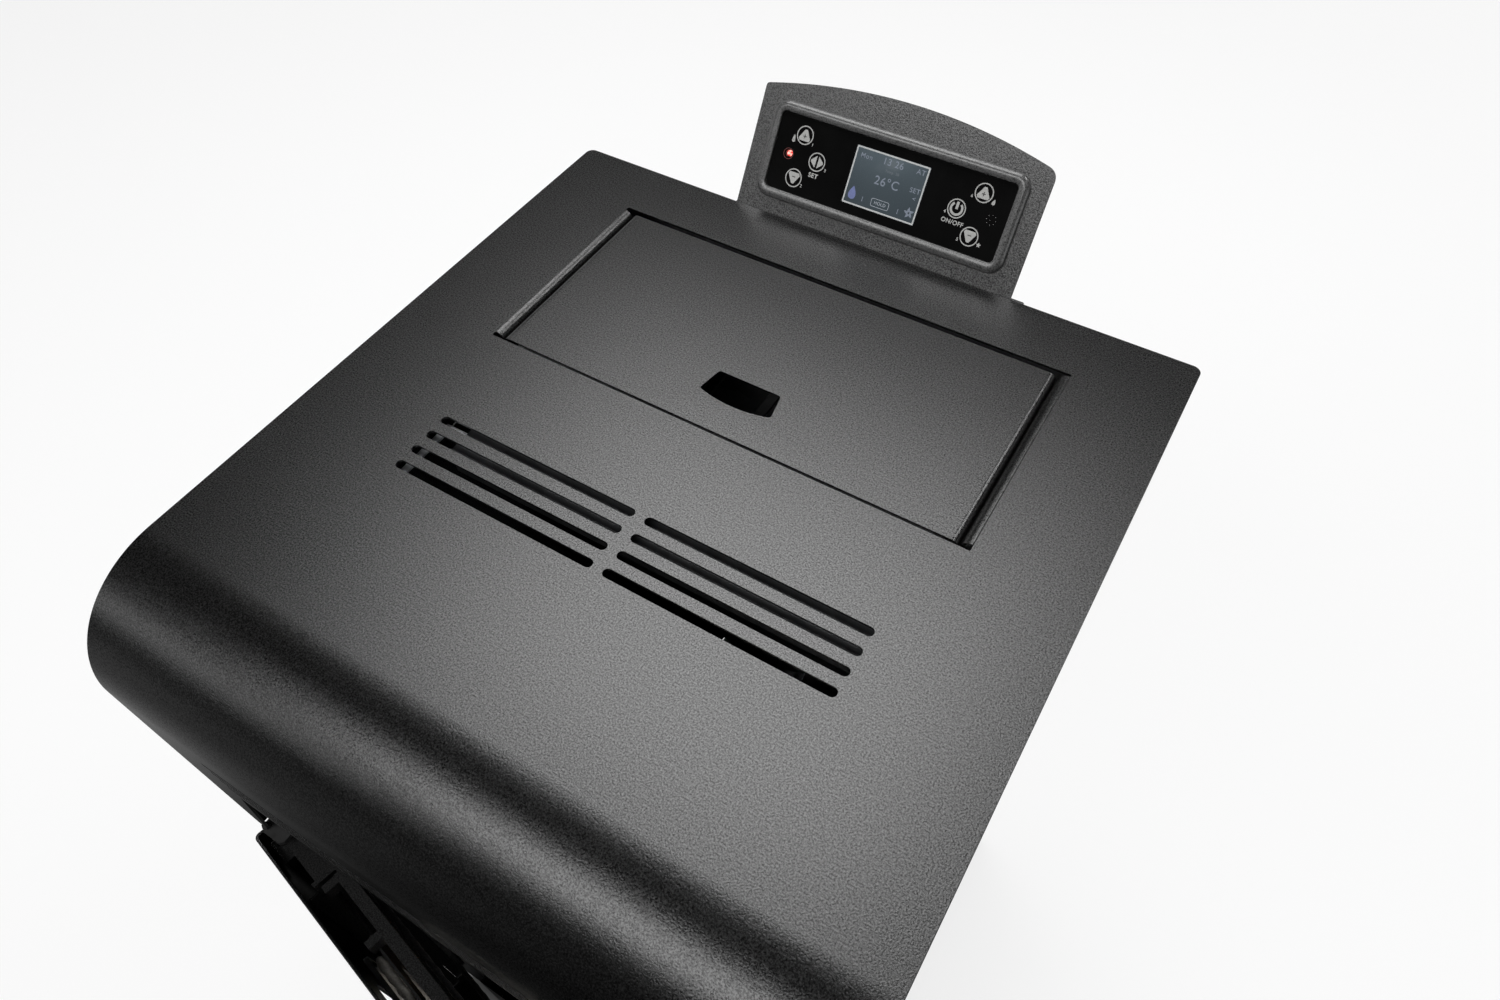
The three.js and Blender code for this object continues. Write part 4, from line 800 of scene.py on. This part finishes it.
def lid_knuckle(side):
    """A sleeve on the lid's pin, with the web that carries it."""
    k = KNUCKLE
    y, z = LID_PIVOT[1:]
    x0, x1 = side * k["aside"] - k["half"], side * k["aside"] + k["half"]
    bm = bmesh.new()
    tube(bm, Vector((x0, y, z)), Vector((x1, y, z)), k["radius"], k["bore"], 32)
    y0, y1, z0, z1 = y - 3 * MM, y - 1 * MM, z + k["bore"], TOP - 1 * MM
    web = [(y0, z0), (y1, z0), (y1, z1), (y0, z1)]
    prism(bm, web, lambda a, b: (x0, a, b), lambda a, b: (x1, a, b))
    piece = new_object("lid_knuckle_left" if side < 0 else "lid_knuckle_right", bm)
    ease_edges(piece, 0.2 * MM, 2)
    place_piece(piece, COAT, "lid")


# ---- control panel


def panel_outline():
    """Straight below and at the sides, with an upper edge that bows up from two shoulders."""
    half, shoulder, crown = PANEL["half"], PANEL["shoulder"], PANEL["crown"]
    left, right = PANEL["left_corner"], PANEL["right_corner"]
    low, slope = 0.2, 0.27
    bow = (0, 2 * crown - shoulder - 1.6)
    points = [(-half, low), (half, low), (half, shoulder - right)]
    points += curve(points[-1], (half, shoulder), (half - right, shoulder + right * slope), 8)
    points += curve(points[-1], bow, (-half + left, shoulder + left * slope), 40)
    points += curve(points[-1], (-half, shoulder), (-half, shoulder - left), 8)
    return scaled(points)


def inset_rect(box, inset, radius, steps=8):
    """The outline of one of the panel's parts, this far inside its edges."""
    half = box["half"] - inset
    return rounded_rect(-half, half, box["low"] + inset, box["high"] - inset, radius, steps)


def in_panel(piece):
    piece.data.transform(PANEL_FRAME)
    return piece


def panel_sheet(name, outline, holes, rise, thickness):
    """A sheet of the panel; its face stands out by rise."""
    bm = bmesh.new()
    fill(bm, outline, holes, lambda x, z: (x, -rise, z))
    piece = in_panel(new_object(name, bm))
    if piece.data.polygons[0].normal.y > 0:
        piece.data.flip_normals()
    thicken(piece, thickness)
    return piece


def panel_plate():
    margin = 2
    window = scaled(inset_rect(GLASS, margin, 2))
    piece = panel_sheet("panel_backplate", panel_outline(), [window], 0, SHEET)
    ease_edges(piece, 0.5 * MM)
    place_piece(piece, PANEL_COAT_LIT, "cabinet", ["panel_plate"])


def panel_tab():
    """The upright tab that holds the panel behind the hood."""
    gap = 0.3 * MM
    x0, x1 = PANEL_X - TAB["left"], PANEL_X + TAB["right"]
    outline = rounded_rect(x0, x1, TOP - TAB["drop"], TOP - gap, 1 * MM, 3)
    bm = bmesh.new()
    prism(bm, outline, lambda x, z: (x, REAR + gap, z), lambda x, z: (x, REAR + gap + SHEET, z))
    piece = new_object("panel_tab", bm)
    ease_edges(piece, 0.3 * MM, 2)
    place_piece(piece, PANEL_COAT_LIT, "cabinet")


def panel_bezel():
    """A raised frame with a wide round outer shoulder and a flat rim beside the glass."""
    # The section goes from the outer edge inwards: inset and rise, in millimetres.
    shoulder = arc(4.0, 0.6, 4.3, 180, 90, 12)
    section = [(-0.3, 0.3), *shoulder, (6.7, 4.75), (7.05, 4.55), (7.2, 4.2), (7.2, 0.3)]
    least_radius = 3.2
    rings = []
    for inset, rise in section:
        loop = inset_rect(BEZEL, inset, max(BEZEL["radius"] - inset, least_radius), 10)
        rings.append([(x * MM, -rise * MM, z * MM) for x, z in loop])
    bm = bmesh.new()
    ring_loft(bm, rings)
    piece = in_panel(new_object("panel_frame", bm))
    place_piece(piece, RIM_COAT_LIT, "cabinet", ["panel_bezel"])


def panel_glass():
    gap, lens_radius = 0.3, 2.6
    outer = scaled(inset_rect(GLASS, 0, GLASS["radius"]))
    hole = scaled(inset_rect(DISPLAY, -gap, 0.6, 4))
    lens = scaled(circle(*LENS, lens_radius, 24))
    rise, thickness = 2.6 * MM, 2.3 * MM
    piece = panel_sheet("panel_front_glass", outer, [hole, lens], rise, thickness)
    ease_edges(piece, 0.25 * MM, 2)
    place_piece(piece, BLACK_GLASS, "cabinet", ["panel_glass"])


class Marks:
    """Flat marks on the panel, in its own millimetres, gathered in one mesh."""

    def __init__(self, name, material, slot_name, rise):
        self.name, self.material, self.slot_name = name, material, slot_name
        self.rise = rise
        self.bm = bmesh.new()

    def point(self, x, z):
        return self.bm.verts.new((x * MM, -self.rise * MM, z * MM))

    def shape(self, points):
        self.bm.faces.new([self.point(x, z) for x, z in points])

    def band(self, outer, inner):
        """The area between two loops with the same number of points."""
        join_rings(self.bm, [self.point(x, z) for x, z in outer], [self.point(x, z) for x, z in inner])

    def ring(self, x, z, radius, width):
        self.band(circle(x, z, radius, 40), circle(x, z, radius - width, 40))

    def open_ring(self, x, z, radius, width, start, end):
        self.shape(arc(x, z, radius, start, end, 40) + arc(x, z, radius - width, start, end, 40)[::-1])

    def disc(self, x, z, radius, steps=16):
        self.shape(circle(x, z, radius, steps))

    def bar(self, x, z, width, height):
        x0, x1, z0, z1 = x - width / 2, x + width / 2, z - height / 2, z + height / 2
        self.shape([(x0, z0), (x1, z0), (x1, z1), (x0, z1)])

    def text(self, words, x, z, height, bold=0.02):
        """Words with capitals of this height; bold widens their strokes."""
        capital, stroke = 0.7, 0.42
        font = bpy.data.curves.new(self.name + "_text", "FONT")
        font.body = words
        font.size = 1.0
        font.align_x = "CENTER"
        font.align_y = "CENTER"
        font.offset = bold * stroke
        font.space_character = 1.1
        holder = add_object(self.name + "_text", font)
        graph = bpy.context.evaluated_depsgraph_get()
        mesh = bpy.data.meshes.new_from_object(holder.evaluated_get(graph))
        place = Matrix.Translation((x * MM, -self.rise * MM, z * MM))
        stand = Matrix.Rotation(math.radians(90), 4, "X")
        mesh.transform(place @ stand @ Matrix.Scale(height * MM / capital, 4))
        self.bm.from_mesh(mesh)
        bpy.data.objects.remove(holder)
        bpy.data.curves.remove(font)
        bpy.data.meshes.remove(mesh)

    def finish(self):
        piece = new_object(self.name, self.bm)
        turned = [face for face in piece.data.polygons if face.normal.y > 0]
        if len(turned) * 2 > len(piece.data.polygons):
            piece.data.flip_normals()
        place_piece(in_panel(piece), self.material, "cabinet")


def arrow(x, z, size, up=True):
    """A triangle with blunt corners."""
    sign = 1 if up else -1
    reach, blunt = 0.9 * size, 0.17 * size
    points = []
    for turn in (90, 210, 330):
        c, s = math.cos(math.radians(turn)), math.sin(math.radians(turn))
        for side in (-blunt, blunt):
            points.append((x + reach * c - side * s, z + sign * (reach * s + side * c)))
    return points


def drop(x, z, width, height, lean=0.0):
    """A drop: a round foot drawn up to a point, which may lean aside."""
    belly, taper = 0.62, 0.6
    points = []
    for c, s in circle(0, 0, 1, 24):
        rise = (1 - c) / 2
        spread = belly * s * (1 - rise) ** taper
        points.append((x + width * spread + lean * rise ** 2, z - height / 2 + height * rise))
    return points


def star(x, z, arms, outer, inner):
    points = []
    for i in range(arms * 2):
        radius = outer if i % 2 == 0 else inner
        angle = math.radians(90) + math.pi * i / arms
        points.append((x + radius * math.cos(angle), z + radius * math.sin(angle)))
    return points


def panel_symbols():
    """Generic key symbols: arrows, a power sign, numbers and small pictures."""
    ink = Marks("key_symbols", SILVER_INK, "display", 2.66)
    dark = Marks("key_symbol_marks", BLACK_INK, "black_glass", 2.70)
    keys = {
        "up_left": (-70.3, 61.2), "side": (-55.7, 46), "down_left": (-70.5, 30.3),
        "up_right": (70.3, 61.7), "power": (55.3, 46.3), "down_right": (70.3, 31.2),
    }
    radius, line, nudge = 6.7, 0.8, 0.8
    for name, (x, z) in keys.items():
        ink.ring(x, z, radius, line)
        if name == "power":
            ink.open_ring(x, z, 4.9, 1.6, 128, 412)
            ink.bar(x, z + 2.2, 1.9, 5.2)
        elif name == "side":
            wing = [(5.0, -0.5), (5.0, 0.5), (0.9, 4.2), (0.7, -4.2), (1.0, -4.2)]
            for sign in (-1, 1):
                ink.shape([(x + sign * dx, z + sign * dz) for dx, dz in wing])
        else:
            up = name.startswith("up")
            middle = z - nudge if up else z + nudge
            ink.shape(arrow(x, middle, 5.4, up))
            dark.bar(x, middle, 2.8, 0.65)
            if up:
                dark.bar(x, middle, 0.65, 2.8)
    ink.text("SET", -55.8, 36, 3.2, 0.07)
    ink.text("ON/OFF", 55.3, 36.7, 3.0, 0.05)
    for words, x, z in (
        ("1", -62.7, 56.3), ("3", -47.7, 42), ("2", -63.0, 26.5),
        ("4", 47.8, 42.3), ("6", 62.8, 57.5), ("5", 62.8, 27),
    ):
        ink.text(words, x, z, 2.1, 0.06)
    ink.shape(drop(-78.4, 57.6, 2.4, 4.6))
    ink.disc(-78.4, 55.6, 1.3)
    ink.shape(drop(78.6, 57.8, 2.6, 4.2, 0.6))
    ink.shape(star(78.6, 27.8, 5, 1.9, 0.9))
    for x, z in circle(81.2, 46.3, 3.4, 8):
        ink.disc(x, z, 0.2, 8)
    ink.disc(80.4, 45.9, 0.2, 8)
    dark.finish()
    ink.finish()


def display():
    """The screen, its pale rim and what it shows."""
    outline = inset_rect(DISPLAY, 0, 0.6, 4)
    rear, front = 1.4 * MM, -2.4 * MM
    bm = bmesh.new()
    prism(bm, scaled(outline), lambda x, z: (x, rear, z), lambda x, z: (x, front, z))
    screen = in_panel(new_object("display_screen", bm))
    place_piece(screen, SCREEN, "cabinet", ["display_module"])
    rim = Marks("display_rim", SCREEN_RIM, "display", 2.45)
    rim.band(outline, inset_rect(DISPLAY, DISPLAY["rim"], 0.4, 4))
    rim.finish()
    rise = 2.44
    words = Marks("display_text", SCREEN_TEXT, "display", rise)
    for text, x, z, height in (
        ("Mon", -19.7, 60.6, 3.4), ("13 26", 1.2, 61.2, 4.6), ("AT", 22.8, 61.4, 3.6),
        ("26°C", 0.6, 47.2, 6.0), ("SET", 22.6, 48.4, 3.4), ("<", 23.6, 43.0, 3.0),
        ("1", -13.7, 31.7, 3.4), ("1", 14.7, 31.3, 3.4),
    ):
        words.text(text, x, z, height)
    blades = 5
    for turn in range(blades):
        angle = math.radians(90 + turn * 360 / blades)
        c, s = math.cos(angle), math.sin(angle)
        blade = drop(0, 2.3, 2.2, 3.4, 0.8)
        words.shape([(23.0 + x * c - z * s, 33.0 + x * s + z * c) for x, z in blade])
    words.finish()
    dim = Marks("display_dim_text", SCREEN_DIM, "display", rise)
    dim.text("Temp  20", 2.2, 55.2, 1.8)
    dim.finish()
    key = Marks("display_key_box", SCREEN_KEY, "display", rise)
    key.text("HOLD", 0.3, 32.2, 2.2)
    key.band(rounded_rect(-6.8, 7.4, 29.3, 35.1, 1.4, 6), rounded_rect(-6.4, 7.0, 29.7, 34.7, 1.1, 6))
    key.finish()
    blue = Marks("display_drop", SCREEN_BLUE, "display", rise)
    blue.shape(drop(-22.5, 34.2, 6.4, 9.5))
    blue.finish()


def status_light():
    ring = Marks("status_light_ring", LENS_INK, "red_lens", 2.66)
    ring.ring(-79.6, 45.6, 4.0, 0.35)
    ring.finish()


# ---- door


def in_door(piece):
    piece.data.transform(DOOR_FRAME_OF)
    return piece


def door_uwz(u, w, z):
    """A point of the door's own frame: u from its hinge edge, w inwards from its outer face."""
    return (u - PIVOT_IN_DOOR["u"], w - PIVOT_IN_DOOR["w"], z)


def rope_ring(name, edges, radius, w, thickness, seed, ragged):
    """A twisted rope laid round a rounded rectangle, w inwards from the door's outer face."""
    spacing, strands, sides = 2.5 * MM, 3, 12
    core, ridge, lay, mottle = 0.44, 0.05, 2.2 * MM, 160
    path = rounded_rect(*edges, radius, 10)
    points = []
    for (ax, az), (bx, bz) in zip(path, path[1:] + path[:1]):
        steps = max(1, round(math.hypot(bx - ax, bz - az) / spacing))
        for i in range(steps):
            points.append((ax + (bx - ax) * i / steps, az + (bz - az) * i / steps))
    inward = Vector((0, 1, 0))
    rings = []
    travelled = 0.0
    for i, (px, pz) in enumerate(points):
        qx, qz = points[(i + 1) % len(points)]
        ox, oz = points[i - 1]
        tangent = Vector((qx - ox, 0, qz - oz)).normalized()
        outward = Vector((tangent.z, 0, -tangent.x))
        travelled += math.hypot(qx - px, qz - pz)
        ring = []
        for k in range(sides):
            angle = 2 * math.pi * k / sides
            twist = math.cos(strands * angle + travelled / lay)
            wobble = noise.noise(Vector((px * mottle, pz * mottle, seed + k * 0.35)))
            size = thickness * (core + ridge * twist) * (1 + ragged * wobble)
            offset = size * (math.cos(angle) * outward + math.sin(angle) * inward)
            ring.append(Vector(door_uwz(px, w, pz)) + offset)
        rings.append(ring)
    bm = bmesh.new()
    ring_loft(bm, rings)
    return in_door(new_object(name, bm))


def door_ropes():
    seal_edges = (34.6 * MM, 423.4 * MM, 172.6 * MM, 547.4 * MM)
    seal = rope_ring("door_rope", seal_edges, 12 * MM, 41 * MM, 5.2 * MM, 3.0, 0.12)
    place_piece(seal, DARK_ROPE, "door", ["door_seal"])
    stile = 139.5 * MM
    glass_edges = (stile, DOOR_WIDTH - stile, 257.5 * MM, 556 * MM)
    glass_rope = rope_ring("glass_rope", glass_edges, 7 * MM, 15.7 * MM, 8.6 * MM, 9.0, 0.3)
    place_piece(glass_rope, ROPE, "door", ["glass_seal"])


def lid_gasket():
    """The fibre strip on the hopper's rim."""
    low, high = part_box("lid_seal")
    half_width, half_height = 3.5 * MM, 0.98 * (high.z - low.z) / 2
    middle = (low.z + high.z) / 2
    rings = []
    for c, s in circle(0, 0, 1, 10):
        inset = half_width * (1 - c)
        z = middle + half_height * s
        loop = rounded_rect(low.x + inset, high.x - inset, low.y + inset, high.y - inset, 6 * MM, 6)
        rings.append([(x, y, z) for x, y in loop])
    bm = bmesh.new()
    ring_loft(bm, rings)
    piece = new_object("lid_gasket", bm)
    place_piece(piece, DARK_ROPE, "cabinet", ["lid_seal"])


def through(knots, steps):
    """Points of a smooth curve through all the knots."""
    last = len(knots) - 1
    points = []
    for i in range(steps + 1):
        along = i / steps * last
        n = min(int(along), last - 1)
        f = along - n
        near = [knots[min(max(k, 0), last)] for k in range(n - 1, n + 3)]
        point = []
        for a, b, c, d in zip(*near):
            rise = (c - a) * f + (2 * a - 5 * b + 4 * c - d) * f * f + (3 * b - a - 3 * c + d) * f ** 3
            point.append(b + rise / 2)
        points.append(point)
    return points


def lever():
    """The door's lever: a boss on the spindle and an oval bar that bows away from the door."""
    origin = Vector(door_uwz(HANDLE["u"], 0, HANDLE["z"]))

    def at(x, y, z):
        """A place in millimetres from the spindle's axis at the door's outer face."""
        return origin + MM * Vector((x, y, z))

    boss, bore = 11 * MM, 4.3 * MM
    bm = bmesh.new()
    tube(bm, at(0, -0.5, 0), at(0, -20, 0), boss, bore, 48)
    prism(bm, circle(0, 0, 8, 32), lambda x, z: at(x, -8.4, z), lambda x, z: at(x, -20.2, z))
    steps, tapered = 36, 3
    knots = [(-4, -14), (-30, -19), (-62, -22), (-98, -18)]
    rings = []
    for i, (x, y) in enumerate(through(knots, steps)):
        size = min(1.0, 0.55 + 0.45 * (steps - i) / tapered)
        rings.append([at(x, y + 5 * c, 8 * s) for c, s in circle(0, 0, size, 24)])
    ring_loft(bm, rings, closed=False)
    piece = in_door(new_object("door_lever", bm))
    ease_edges(piece, 0.8 * MM, 3, 40)
    place_piece(piece, STEEL, "handle", ["door_handle"])


# ---- feet


def foot(corner):
    """A levelling foot: a round shoe with a neck and a threaded stud."""
    low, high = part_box("foot_" + corner)
    centre = (low + high) / 2
    # Radius and height of each ring, in millimetres.
    profile = [(16.8, 0), (17.8, 0.8), (18, 2.2), (17.6, 3.9), (15, 6.2), (13.2, 7.8)]
    profile += [(9, 8.2), (6.2, 8.6), (5, 9)]
    thread = {"first": 9, "turns": 35, "crest": 5.0, "root": 4.45}
    for turn in range(thread["turns"]):
        z = thread["first"] + turn
        profile += [(thread["crest"], z), (thread["root"], z + 0.45), (thread["crest"], z + 0.9)]
    profile.append((4.2, 44))
    rings = []
    for radius, height in profile:
        rings.append([(x, y, height * MM) for x, y in circle(centre.x, centre.y, radius * MM, 40)])
    bm = bmesh.new()
    ring_loft(bm, rings, closed=False)
    piece = new_object("levelling_foot_" + corner, bm)
    place_piece(piece, STEEL, corner + "_foot", ["foot_" + corner])


# ---- studio


def floor():
    """A wide floor that looks white to the camera and keeps the stove's shadow.

    It lights the stove hardly at all, but shiny faces see it pale at the sides and behind.
    """
    size = 6.0
    bm = bmesh.new()
    strip(bm, [[(x, y, 0) for x in (-size, size)] for y in (-size, size)])
    piece = new_object("floor", bm)
    m = Nodes("pale_floor")
    ray = m.node("LightPath").outputs
    seen = m.math("MAXIMUM", ray["Is Camera Ray"], ray["Is Transmission Ray"])
    place = m.node("SeparateXYZ", Vector=m.place).outputs
    aside = m.math("ABSOLUTE", place["X"])

    # In shiny faces: dark close to the stove, pale further off, and dim in front.
    reach = m.math("MAXIMUM", aside, m.math("MULTIPLY", place["Y"], 0.3))
    pale = m.profile(
        reach, 2.5, (0.42, 0.015), (0.66, 0.07), (0.84, 0.22), (0.96, 0.29), (1.5, 0.33), (2.25, 0.78),
    )
    ahead = m.math("MULTIPLY", place["Y"], -1.0)
    fade = m.profile(ahead, 2.0, (0.0, 1.0), (0.26, 0.95), (0.56, 0.75), (1.0, 0.5), (1.9, 0.25))
    mirrored = m.math("MULTIPLY", ray["Is Glossy Ray"], m.math("MULTIPLY", pale, fade))

    # To the camera: white, but dark under the stove, where no light comes.
    middle, width_to_depth = 0.02, 0.926
    along = m.math("ABSOLUTE", m.math("SUBTRACT", place["Y"], middle))
    off_middle = m.math("MAXIMUM", aside, m.math("MULTIPLY", along, width_to_depth))
    outside = m.ramp(off_middle, (0.232, 0.03), (0.25, 1.0))
    white = m.math("MULTIPLY", m.math("MULTIPLY", seen, 0.78), outside)

    m.set(
        Roughness=0.9,
        Specular_IOR_Level=0.0,
        Base_Color=m.ramp(seen, (0.0, 0.01), (1.0, 0.2)),
        Emission_Color=(1, 1, 1, 1),
        Emission_Strength=m.math("ADD", white, mirrored),
    )
    piece.data.materials.append(m.material)


def softbox(name, centre, target, width, height, radiance):
    """A rectangular lamp that gives the same brightness whatever its size."""
    lamp = bpy.data.lights.new(name, "AREA")
    lamp.shape = "RECTANGLE"
    lamp.size = width
    lamp.size_y = height
    lamp.energy = radiance * math.pi * width * height
    holder = add_object(name, lamp)
    holder.location = centre
    holder.rotation_euler = (Vector(target) - Vector(centre)).to_track_quat("-Z", "Y").to_euler()


def world():
    """A dim room that looks white to the camera, and pale low at the sides and behind in shiny faces."""
    sky = bpy.data.worlds.new("studio")
    sky.use_nodes = True
    t = Tree(sky.node_tree)
    ray = t.node("LightPath").outputs
    seen = t.math("MAXIMUM", ray["Is Camera Ray"], ray["Is Transmission Ray"])
    way = t.node("SeparateXYZ", Vector=t.node("TexCoord").outputs["Generated"]).outputs
    # Pale for shiny faces where the direction is low and doesn't go forward.
    low = t.between(way["Z"], 0.34, 0.16)
    behind = t.between(way["Y"], -0.25, 0.05)
    mirrored = t.math("MULTIPLY", ray["Is Glossy Ray"], t.math("MULTIPLY", low, behind))
    strength = t.between(t.math("MAXIMUM", seen, mirrored), 0.0, 1.0, 0.035, 0.98)
    background = t.node("Background", Color=(1, 1, 1, 1), Strength=strength)
    t.node("OutputWorld", Surface=background.outputs[0])
    bpy.context.scene.world = sky


def camera():
    """The photo's camera, worked out from the straight edges of the top."""
    lens = bpy.data.cameras.new("photo_camera")
    lens.sensor_width = 36
    lens.lens = 24.42
    eye = add_object("photo_camera", lens)
    right = Vector((0.85372, 0.52017, -0.02277))
    up = Vector((-0.40293, 0.68769, 0.60386))
    ahead = Vector((-0.32981, 0.50636, -0.79679))
    turn = Matrix((right, up, -ahead)).transposed().to_4x4()
    place = Matrix.Translation((251 * MM, REAR - 550.61 * MM, TOP + 485.79 * MM))
    eye.matrix_world = place @ turn
    bpy.context.scene.camera = eye


# ---- assembly

camera()

hood()
opening_lip(-1)
opening_lip(1)
hopper_lid()
lid_knuckle(-1)
lid_knuckle(1)

panel_plate()
panel_tab()
panel_bezel()
panel_glass()
display()
panel_symbols()
status_light()

door_ropes()
lid_gasket()
lever()
for corner in ("front_left", "front_right", "rear_left", "rear_right"):
    foot(corner)

EASED = {
    "side_panel_left": (COAT, "powder_coat", 0.6),
    "side_panel_right": (COAT, "powder_coat", 0.6),
    "base_plate": (PAINT, "stove_paint", 0.5),
    "outlet_grille": (DARK_COAT, "dark_inside", 0.4),
    "panel_back_cover": (PANEL_COAT_LIT, "powder_coat", 0.4),
    "door_skin": (COAT, "powder_coat", 0.7),
    "door_frame": (DARK_COAT, "stove_paint", 0.4),
    "door_glass": (CLEAR_GLASS, "clear_glass", 0.4),
    "latch_spindle": (STEEL, "steel", 0.4),
    "door_hinge_upper": (PAINT, "stove_paint", 0.4),
    "door_hinge_lower": (PAINT, "stove_paint", 0.4),
    "latch_keeper": (ZINC, "galvanised", 0.4),
    "face_plate": (PAINT, "stove_paint", 0.5),
    "ash_drawer": (COAT, "powder_coat", 0.5),
    "burn_pot": (IRON, "cast_iron", 0.5),
    "baffle_plate": (IRON, "cast_iron", 0.8),
    "liner_back": (BOARD_BROWN, "fire_brick", 0.8),
    "liner_left": (BOARD_BROWN, "fire_brick", 0.8),
    "liner_right": (BOARD_BROWN, "fire_brick", 0.8),
    "power_inlet": (PLASTIC, "black_plastic", 0.5),
    "power_rocker": (PLASTIC, "black_plastic", 0.5),
    "tube_scraper": (STEEL, "steel", 0.4),
    "hopper_guard": (PAINT, "stove_paint", 0.3),
}
for node, (material, slot_name, width) in EASED.items():
    eased(node, material, width * MM)
# Its ends reach the hood's cheeks, so that no light shows through between them.
eased("rear_panel", ZINC, 0.25 * MM, widen=1.2 * MM)

PLAIN = {
    "lid_hinge_pin": STEEL, "hopper": ZINC, "top_shield": SHADED_ZINC, "status_led": RED,
    "panel_board": CIRCUIT, "firebox": PAINT, "air_box": ZINC, "air_intake_pipe": ZINC,
    "igniter": ALUMINIUM, "heat_exchanger": PAINT, "auger_tube": ZINC, "auger_screw": STEEL,
    "gear_motor": MOTOR, "pellet_chute": ZINC, "exhaust_case": ALUMINIUM, "exhaust_impeller": STEEL,
    "exhaust_motor": MOTOR, "smoke_duct": ZINC, "room_fan_case": ZINC, "room_fan_rotor": ALUMINIUM,
    "room_fan_motor": MOTOR, "control_board": CIRCUIT,
}
for node, material in PLAIN.items():
    mesh = frame["nodes"][node].data
    mesh.materials.clear()
    mesh.materials.append(material)

# The end of the heat shield's left strap gets the brighter copy of the zinc, a painted highlight.
STRAP_END = -139.5 * MM
shield = frame["nodes"]["top_shield"].data
shield.materials.append(GLINT_ZINC)
for face in shield.polygons:
    if face.center.x < STRAP_END:
        face.material_index = 1

floor()
LAMPS = (
    # name, place, target, width, height, radiance
    ("top_softbox", (-0.6, 0.925, 2.9), (-0.6, 0.925, 0), 1.75, 1.59, 5.8),
    ("front_softbox", (-1.4, -7.23, 7.98), (-1.4, -0.2, 0.87), 8.8, 4.17, 5.3),
    ("side_softbox", (-1.9, -2.1, 1.72), (-0.2, -0.2, 0.85), 1.3, 0.55, 1.9),
    ("rear_right_softbox", (1.2, 1.75, 2.85), (-0.17, 0.15, 0.9), 0.8, 0.7, 10.0),
    ("rear_fill", (1.2, 3.4, 1.1), (0, 0.2, 0.6), 1.8, 1.2, 1.3),
    ("right_fill", (3.4, -0.5, 1.0), (0.2, 0, 0.6), 1.8, 1.2, 1.4),
)
for lamp in LAMPS:
    softbox(*lamp)
world()

bpy.context.scene.view_settings.view_transform = "Standard"
